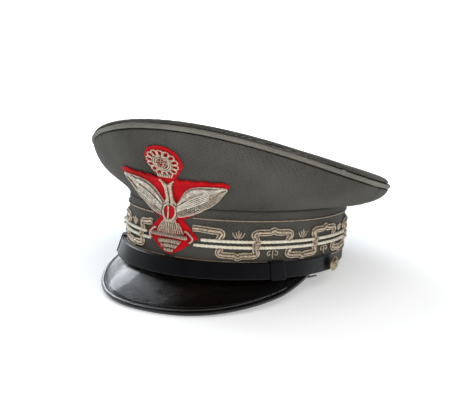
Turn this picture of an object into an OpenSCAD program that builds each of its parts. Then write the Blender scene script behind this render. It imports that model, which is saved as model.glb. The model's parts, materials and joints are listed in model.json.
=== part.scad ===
/* [Head band] */
// Half length of the band, centre to front
band_a = 105; // [95:0.5:112]
// Half width of the band, centre to side
band_b = 87.8; // [78:0.2:94]
// Height of the band, hem to crown seam
band_h = 49.5; // [42:0.5:56]
// Thickness of the band's cloth
cloth_t = 1.2; // [0.8:0.1:1.6]

/* [Crown] */
// Half length of the crown at the rim
crown_a = 129.6; // [120:0.2:136]
// Half width of the crown at the rim
crown_b = 123.9; // [114:0.1:130]
// Height of the rim above the hem, halfway back
rim_z = 85; // [78:0.5:92]
// Rise of the rim towards the front, per unit of length
rim_slope = 0.185; // [0.12:0.005:0.22]
// Drop of the rim at the sides
rim_droop = 15.8; // [8:0.2:20]
// Height of the rolled edge of the top above the rim seam
roll_h = 7.6; // [6:0.2:10]
// Height of the welt between the two rim seams
welt_h = 3.8; // [3:0.1:4.5]

/* [Visor] */
// How far the visor reaches forward of the band's centre
visor_reach = 133.7; // [128:0.1:140]
// Drop of the visor's front edge below the hem
visor_drop = 26.5; // [22:0.1:30]
// Half width of the visor
visor_b = 87.6; // [86:0.1:92]
// Radius of the bound edge
binding_r = 2.1; // [1.6:0.1:2.6]

/* [Chin strap] */
// Height of the strap's upper edge above the hem
strap_top = 9.3; // [8:0.1:11]
// Height of the strap's lower edge, below the hem
strap_low = 2.6; // [2.4:0.1:3.2]
// Thickness of one strap
strap_t = 1.3; // [1:0.1:1.5]
// Angle of the side buttons from the front
button_angle = 84; // [82:0.5:86]
// Diameter of a side button
button_d = 12.6; // [11:0.2:15]

/* [Embroidery] */
// Height of the lower rank cord
cord_low_z = 21.1; // [19:0.1:22]
// Height of the upper rank cord
cord_high_z = 25.6; // [24.6:0.1:28]
// Diameter of a rank cord
cord_d = 2.4; // [1.8:0.1:2.8]
// Height of the top border cord
border_z = 41.6; // [40:0.1:44]
// Width of the meander's bullion
meander_w = 4.8; // [4:0.2:5]
// Distance of the meander's upper bars above the cords' middle
meander_rise = 9.6; // [9:0.1:10.5]
// Distance of the meander's lower bars below the cords' middle
meander_fall = 8.5; // [8:0.1:9]
// Sideways set of the badge and the visor's front
front_x = -4.2; // [-6:0.1:0]
// Number of meander blocks on each side of the front one
blocks = 9; // [7:1:9]
// Arc from the front to the first leg of the meander
first_leg = 35.5; // [33:0.5:38]

/* [Hidden] */

// Colours
wool = "#5b5b54";
satin = "#3a3733";
leather = "#15151a";
patent = "#060608";
silver = "#b9ad94";
cream = "#e9e2cc";
red_felt = "#b3131d";
brass = "#a08a5c";
board = "#8a7a5c";
hide = "#6b4a30";

// Fineness of the soft shapes
ring_n = 72;
panel_n = 14;
rise_n = 9;

// Clear space between neighbouring layers
gap = 0.25;
// Side buttons stand at the ends of the strap, with their axis across the cap
button_x = band_b * sin(button_angle);
button_y = -band_a * cos(button_angle);
button_z = 4;
shank_r = 1.3;
running = 0.05;
// Straps lie one over the other, clear of the embroidery
strap_off = 2;
strap_flare = 5;
keeper_t = 0.7;
keeper_angles = [50, -58];
keeper_half = 3.6;
// Heights and sizes of the small embroidery
border_low_z = 9.7;
border_r = 0.38;
relief = 1.6;
rank_mid = (cord_low_z + cord_high_z) / 2;
arc_radius = (band_a + band_b) / 2 * (1 + pow((band_a - band_b) / (band_a + band_b), 2) / 4);
arc_swing = (pow(band_a, 2) - pow(band_b, 2)) / (8 * arc_radius);
half_round = PI * arc_radius;
block_pitch = (half_round - first_leg) / (blocks + 0.5);
block_foot = (cord_high_z - cord_low_z) / 2 + cord_d / 2 + gap;
block_flare = 2.2;
felt_d = [0.4, 1.4];
badge_d = felt_d[1] + gap;
// Side ends of the visor
visor_side_z = 4.15;
visor_back = 25;
visor_end = 80;
// The binding's middle lies this far below the visor's top face
binding_sink = 0.9;
// Layers of the band, measured inwards from its outer face
stiffener_in = cloth_t + gap;
stiffener_t = 1.5;
sweat_in = stiffener_in + stiffener_t + gap;
sweat_t = 1.2;

// The cap leans back to rest on the visor's edge and the rear hem
lean = atan((visor_drop + binding_r + 0.6) / (visor_reach + band_a - 1));
// Shift that centres the leaning cap
centre_y = -1;

front_z = rim_z + rim_slope * crown_a;
// Length of the crown's side at the front, which scales heights on the badge
front_rise = norm([crown_a - band_a, front_z - band_h]) * 1.01;

function unit(v) = v / norm(v);
function mix(a, b, t) = a * (1 - t) + b * t;

// Point of an ellipse, from the front towards the wearer's left
function oval(a, b, angle) = [b * sin(angle), -a * cos(angle), 0];
function oval_normal(a, b, angle) = unit([a * sin(angle), -b * cos(angle), 0]);
// Point on the band's face, d outside it
function on_band(angle, z, d) =
    oval(band_a, band_b, angle) + oval_normal(band_a, band_b, angle) * d + [0, 0, z];

// Rim of the crown, at the lower seam of the welt
function rim_at(x, y) = rim_z - rim_slope * y - rim_droop * pow(x / 120, 2);
function rim(angle) =
    let (p = oval(crown_a, crown_b, angle)) [p.x, p.y, rim_at(p.x, p.y)];

// Side of the crown, a curve from the band seam (t = 0) to the rim (t = 1).
// The front is taut, the sides are undercut and the rear sags
function crown_curve(angle, t) =
    let (c = cos(angle), s = on_band(angle, band_h, 0), r = rim(angle), d = r - s,
         out = [d.x, d.y, 0],
         p1 = s + out * max(0.08, 0.274 - 0.393 * c) + [0, 0, d.z * 0.3 * pow(max(0, c), 2)],
         p2 = r - out * (0.129 + 0.058 * c)
              - [0, 0, d.z * max(0.35, 0.642 - 0.213 * c - 0.307 * cos(2 * angle))],
         q = 1 - t)
    s * q * q * q + p1 * 3 * q * q * t + p2 * 3 * q * t * t + r * t * t * t;
function crown_normal(angle, t) =
    let (e = 0.02, u = max(e, min(1 - e, t)),
         along = crown_curve(angle + 1, u) - crown_curve(angle - 1, u),
         up = crown_curve(angle, u + e) - crown_curve(angle, u - e))
    unit(cross(along, up));
function on_crown(angle, t, d) = crown_curve(angle, t) + crown_normal(angle, t) * d;

// Angle whose arc from the front is u, found in three steps
function arc_step(u, angle) = (u + arc_swing * sin(2 * angle)) / arc_radius * 180 / PI;
function arc_angle(u) = arc_step(u, arc_step(u, arc_step(u, u / arc_radius * 180 / PI)));

// Point of the badge: u along the arc from its middle, v above the hem, d off the surface.
// One wing was sewn on higher than the other
function on_front(u, v, d) =
    let (angle = arc_angle(u + front_x), rise = v + 0.13 * max(0, -u) * max(0, v - 45) / 30)
    rise <= band_h ? on_band(angle, rise, d)
                   : on_crown(angle, (rise - band_h) / front_rise, d);

// Closed solid between two grids of points, outer and inner, of the same size
module skin(outer, inner, loop = false) {
    rows = len(outer);
    cols = len(outer[0]);
    last = loop ? rows : rows - 1;
    function at(i, j, side) = side * rows * cols + (i % rows) * cols + j;
    faces = concat(
        [for (i = [0 : last - 1], j = [0 : cols - 2])
            each [[at(i, j, 0), at(i, j + 1, 0), at(i + 1, j + 1, 0)],
                  [at(i, j, 0), at(i + 1, j + 1, 0), at(i + 1, j, 0)],
                  [at(i, j, 1), at(i + 1, j + 1, 1), at(i, j + 1, 1)],
                  [at(i, j, 1), at(i + 1, j, 1), at(i + 1, j + 1, 1)]]],
        [for (i = [0 : last - 1])
            each [[at(i, 0, 0), at(i + 1, 0, 0), at(i + 1, 0, 1)],
                  [at(i, 0, 0), at(i + 1, 0, 1), at(i, 0, 1)],
                  [at(i, cols - 1, 0), at(i + 1, cols - 1, 1), at(i + 1, cols - 1, 0)],
                  [at(i, cols - 1, 0), at(i, cols - 1, 1), at(i + 1, cols - 1, 1)]]],
        loop ? [] : [for (j = [0 : cols - 2])
            each [[at(0, j, 0), at(0, j, 1), at(0, j + 1, 1)],
                  [at(0, j, 0), at(0, j + 1, 1), at(0, j + 1, 0)],
                  [at(rows - 1, j, 0), at(rows - 1, j + 1, 1), at(rows - 1, j, 1)],
                  [at(rows - 1, j, 0), at(rows - 1, j + 1, 0), at(rows - 1, j + 1, 1)]]]);
    polyhedron([for (side = [outer, inner], row = side) each row], faces);
}

// Closed solid through rings of points; loop joins the last ring to the first
module sweep(rings, loop = false) {
    rows = len(rings);
    cols = len(rings[0]);
    last = loop ? rows : rows - 1;
    function at(i, j) = (i % rows) * cols + j % cols;
    faces = concat(
        [for (i = [0 : last - 1], j = [0 : cols - 1])
            each [[at(i, j), at(i, j + 1), at(i + 1, j + 1)],
                  [at(i, j), at(i + 1, j + 1), at(i + 1, j)]]],
        loop ? [] : [[for (j = [cols - 1 : -1 : 0]) at(0, j)],
                     [for (j = [0 : cols - 1]) at(rows - 1, j)]]);
    polyhedron([for (ring = rings) each ring], faces);
}

// Stands the level cap on its visor's edge and rear hem
module resting() {
    translate([0, centre_y, 0])
        translate([0, band_a, 0]) rotate([-lean, 0, 0]) translate([0, -band_a, 0])
            children();
}

// Upright oval tube in the band, from d_out to d_in inside the band's face
module band_tube(d_out, d_in, z0, z1) {
    translate([0, 0, z0]) linear_extrude(z1 - z0) difference() {
        polygon([for (i = [0 : ring_n - 1])
            let (p = on_band(i * 360 / ring_n, 0, -d_out)) [p.x, p.y]]);
        polygon([for (i = [0 : ring_n - 1])
            let (p = on_band(i * 360 / ring_n, 0, -d_in)) [p.x, p.y]]);
    }
}

// Holes for both button shanks
module shank_holes(r) {
    for (side = [-1, 1]) translate([side * button_x, button_y, button_z])
        rotate([0, 90, 0]) cylinder(h = 30, r = r, center = true, $fn = 32);
}

module top_panel() {
    t = 1.1;
    // Each step is [inset from the rim, height above the rim seam]
    over = [[0.9, welt_h + 0.4], [0.2, welt_h + 1.5], [1.0, welt_h + 2.8], [3.4, roll_h],
            [7.5, roll_h + 0.4]];
    domes = [0.82, 0.58, 0.32, 0.08];
    function ring(inset, up) = [for (i = [0 : ring_n - 1])
        let (p = oval(crown_a - inset, crown_b - inset, i * 360 / ring_n))
        [p.x, p.y, rim_at(p.x, p.y) + up]];
    function dome(k, up) = [for (i = [0 : ring_n - 1])
        let (p = oval(crown_a * k, crown_b * k, i * 360 / ring_n))
        [p.x, p.y, rim_at(p.x, p.y) + up + 1.2 * (1 - k)]];
    color(wool) resting() sweep(concat(
        [for (i = [len(domes) - 1 : -1 : 0]) dome(domes[i], roll_h + 0.4)],
        [for (i = [len(over) - 1 : -1 : 0]) ring(over[i][0], over[i][1])],
        [ring(2.0, welt_h + 0.4), ring(1.4, welt_h + 1.5), ring(2.1, welt_h + 2.4),
         ring(3.8, roll_h - t), ring(7.5, roll_h + 0.4 - t)],
        [for (k = domes) dome(k, roll_h + 0.4 - t)]));
}

// Tube that follows the rim, with its middle inset and raised
module rim_tube(inset, up, half_w, half_h, sides, n) {
    sweep([for (i = [0 : n - 1])
        let (angle = i * 360 / n, normal = oval_normal(crown_a, crown_b, angle),
             p = oval(crown_a, crown_b, angle) - normal * inset)
        [for (j = [0 : sides - 1])
            let (k = (j + 0.5) * 360 / sides, q = p + normal * half_w * cos(k))
            [q.x, q.y, rim_at(p.x, p.y) + up + half_h * sin(k)]]], loop = true);
}

module rim_welt() color(wool) resting()
    rim_tube(0.4, welt_h / 2 + 0.25, 1.9, welt_h / 2, 8, ring_n);

module rim_hoop() color(silver) resting()
    rim_tube(4.4, welt_h + 1.3, 1, 1, 6, 48);

// Quarter of the crown's side
module side_panel(from, to) {
    edge = 0.12;
    function grid(d) = [for (i = [0 : panel_n])
        let (angle = mix(from + edge, to - edge, i / panel_n))
        [for (j = [0 : rise_n]) on_crown(angle, mix(0.004, 0.985, j / rise_n), d)]];
    skin(grid(0), grid(-cloth_t));
}
module side_panel_front_left() color(wool) resting() side_panel(0, 90);
module side_panel_front_right() color(wool) resting() side_panel(-90, 0);
module side_panel_rear_left() color(wool) resting() side_panel(90, 180);
module side_panel_rear_right() color(wool) resting() side_panel(180, 270);

module crown_lining() {
    n = 40;
    t = 0.5;
    lining_z = 38;
    heights = [0.1, 0.3, 0.55, 0.8];
    domes = [0.9, 0.6, 0.3, 0.06];
    function low(z, d) = [for (i = [0 : n - 1]) on_band(i * 360 / n, z, -d)];
    function side(k, d) = [for (i = [0 : n - 1])
        let (p = on_crown(i * 360 / n, k, -d)) [p.x, p.y, max(p.z, band_h + 2 + 3 * k)]];
    function dome(k, d) = [for (i = [0 : n - 1])
        let (p = oval(crown_a * k, crown_b * k, i * 360 / n)) [p.x, p.y, rim_at(p.x, p.y) + 2.4 - d]];
    d0 = sweat_in + 0.3;
    color(satin) resting() sweep(concat(
        [for (i = [len(domes) - 1 : -1 : 0]) dome(domes[i], 0)],
        [for (i = [len(heights) - 1 : -1 : 0]) side(heights[i], 4)],
        [low(band_h, d0), low(lining_z, d0), low(lining_z, d0 + t), low(band_h, d0 + t)],
        [for (k = heights) side(k, 4 + t)],
        [for (k = domes) dome(k, t)]));
}

module lining_shield() color("lightyellow") resting()
    translate([0, 0, rim_z - 2]) rotate([-atan(rim_slope), 0, 0])
        linear_extrude(0.4) hull() for (y = [-26, 26]) translate([0, y]) circle(r = 22, $fn = 32);

// Springy stay that holds the front of the crown up
module front_stay() {
    function grid(d) = [for (i = [-3 : 3])
        [for (j = [0 : 8]) on_crown(i * 2.2, mix(0.05, 0.93, j / 8), d)]];
    color(board) resting() skin(grid(-1.6), grid(-2.6));
}

module band_cloth() color(wool) resting() difference() {
    band_tube(0, cloth_t, 0, band_h - gap);
    shank_holes(1.6);
}

module band_stiffener() color(board) resting() difference() {
    band_tube(stiffener_in, stiffener_in + stiffener_t, 1.5, band_h - 2.5);
    shank_holes(1.6);
}

module sweatband() color(hide) resting() difference() {
    band_tube(sweat_in, sweat_in + sweat_t, 0.8, 36);
    shank_holes(1.6);
}

// Small bow where the sweatband's ends meet
module sweatband_bow() color(satin) resting()
    translate([0, band_a - sweat_in - sweat_t - 1.3, 26]) {
        rotate([90, 0, 0]) cylinder(h = 1.4, r = 2, center = true, $fn = 24);
        for (side = [-1, 1]) translate([side * 4.5, 0, 0]) rotate([90, 0, 0])
            linear_extrude(1, center = true) polygon([[-side * 4.5, -1], [side * 4.5, -3.2],
                [side * 5.4, 0], [side * 4.5, 3.2], [-side * 4.5, 1]]);
    }

// Cord laid on the band all the way round, from arc start on one side to the other
module laid_cord(z, r, start, sides, n) {
    first = arc_angle(front_x + start);
    last = 360 + arc_angle(front_x - start);
    sweep([for (i = [0 : n]) let (angle = mix(first, last, i / n))
        [for (j = [0 : sides - 1]) let (k = (j + 0.5) * 360 / sides)
            on_band(angle, z + r * sin(k), gap + r + r * cos(k))]]);
}
module border_cord_top() color(silver) resting() laid_cord(border_z, border_r, 18, 6, 56);
module border_cord_bottom() color(silver) resting() laid_cord(border_low_z, border_r, 4.5, 6, 56);
module rank_cord_upper() color(cream) resting() laid_cord(cord_high_z, cord_d / 2, 25, 8, 60);
module rank_cord_lower() color(cream) resting() laid_cord(cord_low_z, cord_d / 2, 19.5, 8, 60);

// Bends of one meander block, as [arc, height above the cords' middle]; side is 1 above them
function block_bends(middle, side) =
    let (half = block_pitch / 2 - 0.6, wide = half + (side > 0 ? block_flare : 0),
         far = side > 0 ? meander_rise : meander_fall)
    [for (p = [[-half, block_foot], [-half, block_foot + 1.3], [-wide, far - 2.5], [-wide + 2.5, far],
               [-5, far], [0, far + 1.6], [5, far], [wide - 2.5, far], [wide, far - 2.5],
               [half, block_foot + 1.3], [half, block_foot]])
        [middle + p.x, side * p.y]];

// Bullion along a path of bends, mitred at the corners
module bullion(path) {
    last = len(path) - 1;
    function across(i) =
        let (into = unit(path[max(1, i)] - path[max(1, i) - 1]),
             out = unit(path[min(last, i + 1)] - path[min(last, i + 1) - 1]),
             mean = unit(into + out))
        [-mean.y, mean.x] * meander_w / 2 / max(0.75, mean * into);
    function stitch(p, d) = on_band(arc_angle(p.x), rank_mid + p.y, d);
    sweep([for (i = [0 : last]) let (side = across(i))
        [stitch(path[i] - side, gap + relief), stitch(path[i] + side, gap + relief),
         stitch(path[i] + side, gap), stitch(path[i] - side, gap)]]);
}

module meander_embroidery() color(silver) resting() {
    for (i = [0 : 2 * blocks])
        bullion(block_bends(first_leg + (i + 0.5) * block_pitch, i % 2 == 0 ? -1 : 1));
    // Half blocks that run out at the badge
    leg = first_leg - 0.6;
    corner = leg + block_flare;
    for (side = [-1, 1]) bullion([for (p = [[19.5 + side * front_x, meander_rise], [25, meander_rise],
        [32, meander_rise],
        [corner - 2.5, meander_rise], [corner, meander_rise - 2.5],
        [leg, block_foot + 1.3], [leg, block_foot]]) [side * p.x, p.y]]);
}

// Small sprigs of three stalks in the gaps between the blocks
module sprig_embroidery() color(silver) resting()
    for (i = [0 : 2 * blocks]) {
        side = i % 2 == 0 ? 1 : -1;
        angle = arc_angle(first_leg + (i + 0.5) * block_pitch);
        normal = oval_normal(band_a, band_b, angle);
        for (lean_out = [-38, 0, 38])
            translate(on_band(angle, rank_mid + side * (block_foot + 1.4), gap + 0.5))
                rotate([0, 0, atan2(normal.y, normal.x)])
                    rotate([lean_out, 0, 0])
                        translate([0, 0, side * 3.6]) cube([0.9, 1, 6.4 - abs(lean_out) / 20], center = true);
    }

// Solid on the cap's front between rows of points, padded towards its middle
module front_patch(rows, d0, d1, edge = 0.45, cols = 6) {
    function pad(i, j) = pow(max(0, sin(180 * j / cols)), 0.6)
        * pow(max(0, sin(180 * (i + 0.35) / (len(rows) - 0.3))), 0.4);
    function grid(d_low, d_high) = [for (i = [0 : len(rows) - 1]) [for (j = [0 : cols])
        let (p = mix(rows[i][0], rows[i][1], j / cols))
        on_front(p.x, p.y, mix(d_low, d_high, pad(i, j)))]];
    skin(grid(d0 + edge, d1), grid(d0, d0));
}

// The backing felt: half outline from the wreath's top down to the tail's tip, as
// [arc, height, height of the same row at the middle]
module badge_felt() {
    half = [[2, 101.4, 101.4], [9, 98, 97], [13, 91, 90], [13.2, 86, 86], [9.5, 79, 80], [6.5, 75.6, 75],
            [8, 73.4, 72], [24, 74.4, 70], [43.6, 77.6, 66], [43.2, 74, 63], [39.3, 66, 58],
            [34, 56.5, 54], [27, 49.6, 51], [24, 46.4, 48], [10.5, 39.2, 42], [13, 36.4, 38],
            [23, 26.6, 30], [22.2, 25.4, 26], [10.5, 16, 18], [1.5, 11.6, 11.6]];
    cols = 10;
    function grid(d) = [for (row = half) [for (j = [0 : cols])
        let (s = 2 * j / cols - 1) on_front(row[0] * s, mix(row[2], row[1], abs(s)), d)]];
    color(red_felt) resting() skin(grid(felt_d[1]), grid(felt_d[0]));
}

// Leading and trailing edges of a wing, from its root to its tip
module wing(side) {
    rows = [[[6, 52.5], [6.5, 41.2]], [[8.8, 57.5], [12, 42.4]], [[11.5, 62.8], [19, 44.6]],
            [[15.5, 66.8], [27, 48.6]], [[22, 70.4], [33, 54]], [[30, 72.6], [37, 60.4]],
            [[38, 74], [40, 68]], [[42, 74.2], [42.3, 72.6]]];
    // Points run the same way round on both sides
    front_patch([for (row = rows) side > 0 ? [row[1], row[0]]
        : [[-row[0].x, row[0].y], [-row[1].x, row[1].y]]], badge_d, badge_d + 3.2);
}
module badge_wing_left() color(silver) resting() wing(1);
module badge_wing_right() color(silver) resting() wing(-1);

module badge_body() color(silver) resting() {
    front_patch([[[-5.6, 71.6], [5.6, 71.6]], [[-3.6, 67], [3.6, 67]], [[-4.2, 60], [4.2, 60]],
                 [[-5, 53.5], [5, 53.5]], [[-4.4, 52.6], [4.4, 52.6]]], badge_d, badge_d + 3.4);
    front_patch([[[-6, 36.8], [6, 36.8]], [[-9, 33], [9, 33]], [[-11, 28.4], [11, 28.4]]],
                badge_d, badge_d + 2.4);
}

module badge_shield() color(red_felt) resting()
    front_patch([for (i = [0 : 8]) let (k = max(2, min(178, i * 22.5)))
        [[-5.6 * sin(k), 44.9 + 7 * cos(k)], [5.6 * sin(k), 44.9 + 7 * cos(k)]]],
        badge_d, badge_d + 4.2, 1.4);

module badge_tail() color(silver) resting()
    front_patch([[[-10.5, 23.6], [10.5, 23.6]], [[-9.2, 20], [9.2, 20]], [[-5.4, 16], [5.4, 16]],
                 [[-1.2, 13.4], [1.2, 13.4]]], badge_d, badge_d + 2);

// Ring of leaves that crowns the badge
module badge_wreath() color(silver) resting() {
    n = 24;
    sweep([for (i = [0 : n - 1])
        [for (p = [[7.6, 1.6], [9.3, 2.4], [11, 1.6], [11.6, 0], [7, 0]])
            on_front(p.x * sin(i * 360 / n), 88 + p.x * cos(i * 360 / n), badge_d + p.y)]], loop = true);
}

module badge_bar() color(silver) resting()
    front_patch([for (i = [-8 : 8]) [[i * 2.3, 25], [i * 2.3, 27.2]]], badge_d, badge_d + 1.8, 0.8, 3);

// Outer edge of the visor; t runs from -1 at one side to 1 at the other
function visor_edge(t) =
    let (k = visor_end * t,
         p = [visor_b * sign(t) * pow(abs(sin(k)), 0.84) + front_x * cos(k),
              -visor_back - (visor_reach - visor_back) * pow(cos(k), 1.05),
              visor_side_z - (visor_side_z + visor_drop) * pow(cos(k), 0.73)],
         w = pow(max(0, abs(k) - 62) / (visor_end - 62), 2))
    mix(p, on_band(77 * sign(t), -3.6, 3.2), w);
function visor_root(t) = on_band(76 * t, -0.4 - 3.2 * pow(sin(76 * t), 2), 0.3);
function visor_point(t, r) =
    let (i = visor_root(t), e = visor_edge(t))
    mix(i, e, r) + [0, 0, 0.17 * norm(e - i) * r * (1 - r)];
function visor_normal(t, r) =
    let (h = 0.03) unit(cross(visor_point(t + h, r) - visor_point(t - h, r),
                              visor_point(t, r - h) - visor_point(t, r + h)));

function visor_along(t) = let (h = 0.02) unit(visor_edge(t + h) - visor_edge(t - h));

// One layer of the visor, between two depths below its top face, that stops short of the binding
module visor_layer(d0, d1, n, cols) {
    function grid(d) = [for (i = [n : -1 : -n])
        let (t = i / n, width = norm(cross(visor_edge(t) - visor_root(t), visor_along(t))),
             reach = 1 - min(0.8, (binding_r + 0.5) / width))
        [for (j = [0 : cols]) let (r = reach * j / cols) visor_point(t, r) - visor_normal(t, r) * d]];
    skin(grid(d0), grid(d1));
}
module visor_shell() color(patent) resting() visor_layer(0, 1.1, 20, 6);
module visor_board() color(board) resting() visor_layer(1.3, 2.2, 14, 4);
module visor_lining() color(leather) resting() visor_layer(2.4, 3.1, 14, 4);

module visor_binding() color(patent) resting() {
    n = 24;
    sides = 8;
    sweep([for (i = [-n : n])
        let (t = i / n, along = visor_along(t),
             up = visor_normal(t, 0.97), out = cross(along, up),
             r = binding_r * (abs(t) > 0.98 ? 0.5 : 1), p = visor_edge(t) - up * binding_sink)
        [for (j = [0 : sides - 1]) let (k = (j + 0.5) * 360 / sides)
            p + up * r * sin(k) + out * r * cos(k)]]);
}

// Foot and head of the strap's inner face
function strap_rise(angle) = 1.3 * pow(sin(angle), 2);
function strap_foot(angle, d) = on_band(angle, -strap_low + strap_rise(angle),
    strap_off + strap_flare * pow(max(0, cos(angle)), 0.7) + d);
function strap_head(angle, d) = on_band(angle, strap_top + strap_rise(angle), strap_off + d);

// Strap from one angle to another, at a depth outside the strap's inner face
module strap(from, to, d, n = 36) {
    sweep([for (i = [0 : n]) let (angle = mix(from, to, i / n))
        [strap_foot(angle, d), strap_foot(angle, d + strap_t),
         strap_head(angle, d + strap_t), strap_head(angle, d)]]);
}
module strap_left() color(leather) resting() difference() {
    strap(-62, button_angle + 3.4, 0);
    shank_holes(shank_r + running);
}
module strap_right() color(leather) resting() difference() {
    strap(-button_angle - 3.4, 54, strap_t + gap);
    shank_holes(shank_r + running);
}

// Loop of leather around both straps
module keeper(middle) {
    wall = gap + keeper_t;
    over = 2 * strap_t + gap;
    function loop(angle, grow) = [
        strap_foot(angle, -grow) - [0, 0, grow], strap_foot(angle, over + grow) - [0, 0, grow],
        strap_head(angle, over + grow) + [0, 0, grow], strap_head(angle, -grow) + [0, 0, grow]];
    function grid(grow) = [for (corner = [0 : 3]) [for (i = [0 : 2])
        loop(middle - (i - 1) * keeper_half, grow)[corner]]];
    skin(grid(wall), grid(gap), loop = true);
}
module keeper_left() color(leather) resting() keeper(keeper_angles[0]);
module keeper_right() color(leather) resting() keeper(keeper_angles[1]);

// Places a child on a side button's axis, with +Z pointing away from the cap
module on_button(side) {
    resting() translate([side * button_x, button_y, button_z]) rotate([0, side * 90, 0]) children();
}
button_seat = strap_off + 2 * strap_t + 2 * gap + 1.1;

module button_cap() {
    r = button_d / 2;
    rotate_extrude($fn = 64) polygon([[0, button_seat + 0.9], [r - 1, button_seat + 0.9],
        [r - 1, button_seat + 0.3], [r - 0.3, button_seat], [r, button_seat + 0.7],
        [r - 0.5, button_seat + 1.5], [r - 1.4, button_seat + 1.9], [r - 2, button_seat + 2.9],
        [r - 3.2, button_seat + 3.6], [1.6, button_seat + 4], [0, button_seat + 4.1]]);
}
module button_shank() {
    bottom = -(sweat_in + sweat_t + 1.9);
    rotate_extrude($fn = 48) polygon([[0, bottom], [shank_r - 0.3, bottom], [shank_r, bottom + 0.4],
        [shank_r, button_seat - 0.2], [4.2, button_seat - 0.2], [4.2, button_seat + 0.7],
        [0, button_seat + 0.7]]);
}
// Spring clip that holds the shank behind the sweatband
module button_clip() {
    translate([0, 0, -(sweat_in + sweat_t + 1.5)]) difference() {
        cylinder(h = 0.8, r = 3.6, $fn = 32);
        translate([0, 0, -1]) cylinder(h = 3, r = shank_r + running, $fn = 32);
        translate([0, -0.5, -1]) cube([5, 1, 3]);
    }
}
module button_cap_left() color(brass) on_button(1) button_cap();
module button_cap_right() color(brass) on_button(-1) button_cap();
module button_shank_left() color(brass) on_button(1) button_shank();
module button_shank_right() color(brass) on_button(-1) button_shank();
module button_clip_left() color(brass) on_button(1) button_clip();
module button_clip_right() color(brass) on_button(-1) button_clip();

top_panel();
rim_welt();
rim_hoop();
side_panel_front_left();
side_panel_front_right();
side_panel_rear_left();
side_panel_rear_right();
crown_lining();
lining_shield();
front_stay();
band_cloth();
band_stiffener();
sweatband();
sweatband_bow();
border_cord_top();
border_cord_bottom();
rank_cord_upper();
rank_cord_lower();
meander_embroidery();
sprig_embroidery();
badge_felt();
badge_wing_left();
badge_wing_right();
badge_body();
badge_shield();
badge_tail();
badge_wreath();
badge_bar();
visor_shell();
visor_board();
visor_lining();
visor_binding();
strap_left();
strap_right();
keeper_left();
keeper_right();
button_cap_left();
button_cap_right();
button_shank_left();
button_shank_right();
button_clip_left();
button_clip_right();
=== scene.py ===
import json
import math
import random
import bmesh
import bpy
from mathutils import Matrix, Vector, noise


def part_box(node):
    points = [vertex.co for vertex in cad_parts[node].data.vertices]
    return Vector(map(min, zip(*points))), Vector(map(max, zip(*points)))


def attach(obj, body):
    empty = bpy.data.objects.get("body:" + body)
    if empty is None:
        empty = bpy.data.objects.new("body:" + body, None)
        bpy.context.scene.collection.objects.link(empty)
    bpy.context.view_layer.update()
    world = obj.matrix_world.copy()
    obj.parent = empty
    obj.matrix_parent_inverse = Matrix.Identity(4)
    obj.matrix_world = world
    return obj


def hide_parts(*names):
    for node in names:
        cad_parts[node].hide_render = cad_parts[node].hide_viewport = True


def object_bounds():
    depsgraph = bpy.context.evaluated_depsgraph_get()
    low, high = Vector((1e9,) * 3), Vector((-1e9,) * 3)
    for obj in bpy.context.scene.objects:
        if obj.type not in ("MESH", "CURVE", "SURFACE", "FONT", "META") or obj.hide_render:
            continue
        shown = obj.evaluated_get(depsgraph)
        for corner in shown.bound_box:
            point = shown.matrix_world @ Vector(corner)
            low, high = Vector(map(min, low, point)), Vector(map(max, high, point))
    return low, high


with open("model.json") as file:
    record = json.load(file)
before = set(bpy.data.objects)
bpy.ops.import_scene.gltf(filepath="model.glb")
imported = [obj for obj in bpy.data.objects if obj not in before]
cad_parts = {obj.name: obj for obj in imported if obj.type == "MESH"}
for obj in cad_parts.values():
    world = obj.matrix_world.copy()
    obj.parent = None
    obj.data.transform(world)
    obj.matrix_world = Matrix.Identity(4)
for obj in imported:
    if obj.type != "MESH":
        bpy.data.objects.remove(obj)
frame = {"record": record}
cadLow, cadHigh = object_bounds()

mm = 0.001
scene = bpy.context.scene
mounts = {mount["name"]: mount for mount in frame["record"]["mounts"]}


# ---- small helpers ----

def linearColour(hexCode):
    # sRGB hex to the linear colour a shader takes
    parts = [int(hexCode[i:i + 2], 16) / 255 for i in (1, 3, 5)]
    return tuple(c / 12.92 if c < 0.04045 else ((c + 0.055) / 1.055) ** 2.4 for c in parts) + (1.0,)


def mix(a, b, t):
    return a * (1 - t) + b * t


def smooth(low, high, x):
    t = max(0.0, min(1.0, (x - low) / (high - low)))
    return t * t * (3 - 2 * t)


def addNode(tree, kind, sockets=None, **settings):
    # adds a node, sets its options, then fills or links its sockets
    node = tree.nodes.new(kind)
    for name, value in settings.items():
        setattr(node, name, value)
    for name, value in (sockets or {}).items():
        if isinstance(value, bpy.types.NodeSocket):
            tree.links.new(value, node.inputs[name])
        else:
            node.inputs[name].default_value = value
    return node


def startMaterial(name, **sockets):
    # a material with its shader's own sockets set; returns it with its tree and shader
    material = bpy.data.materials.new(name)
    material.use_nodes = True
    tree = material.node_tree
    shader = tree.nodes["Principled BSDF"]
    for socket, value in sockets.items():
        shader.inputs[socket.replace("_", " ")].default_value = value
    return material, tree, shader


def colourRamp(tree, source, stops):
    ramp = addNode(tree, "ShaderNodeValToRGB", {"Fac": source})
    points = ramp.color_ramp.elements
    while len(points) < len(stops):
        points.new(0.5)
    for point, (place, hexCode) in zip(points, stops):
        point.position = place
        point.color = linearColour(hexCode)
    return ramp.outputs["Color"]


def waveScale(period):
    # scale that gives a wave texture this distance from crest to crest
    return math.pi / 10 / period


# ---- the cap's own lines, in the level frame it was drawn in ----

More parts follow.
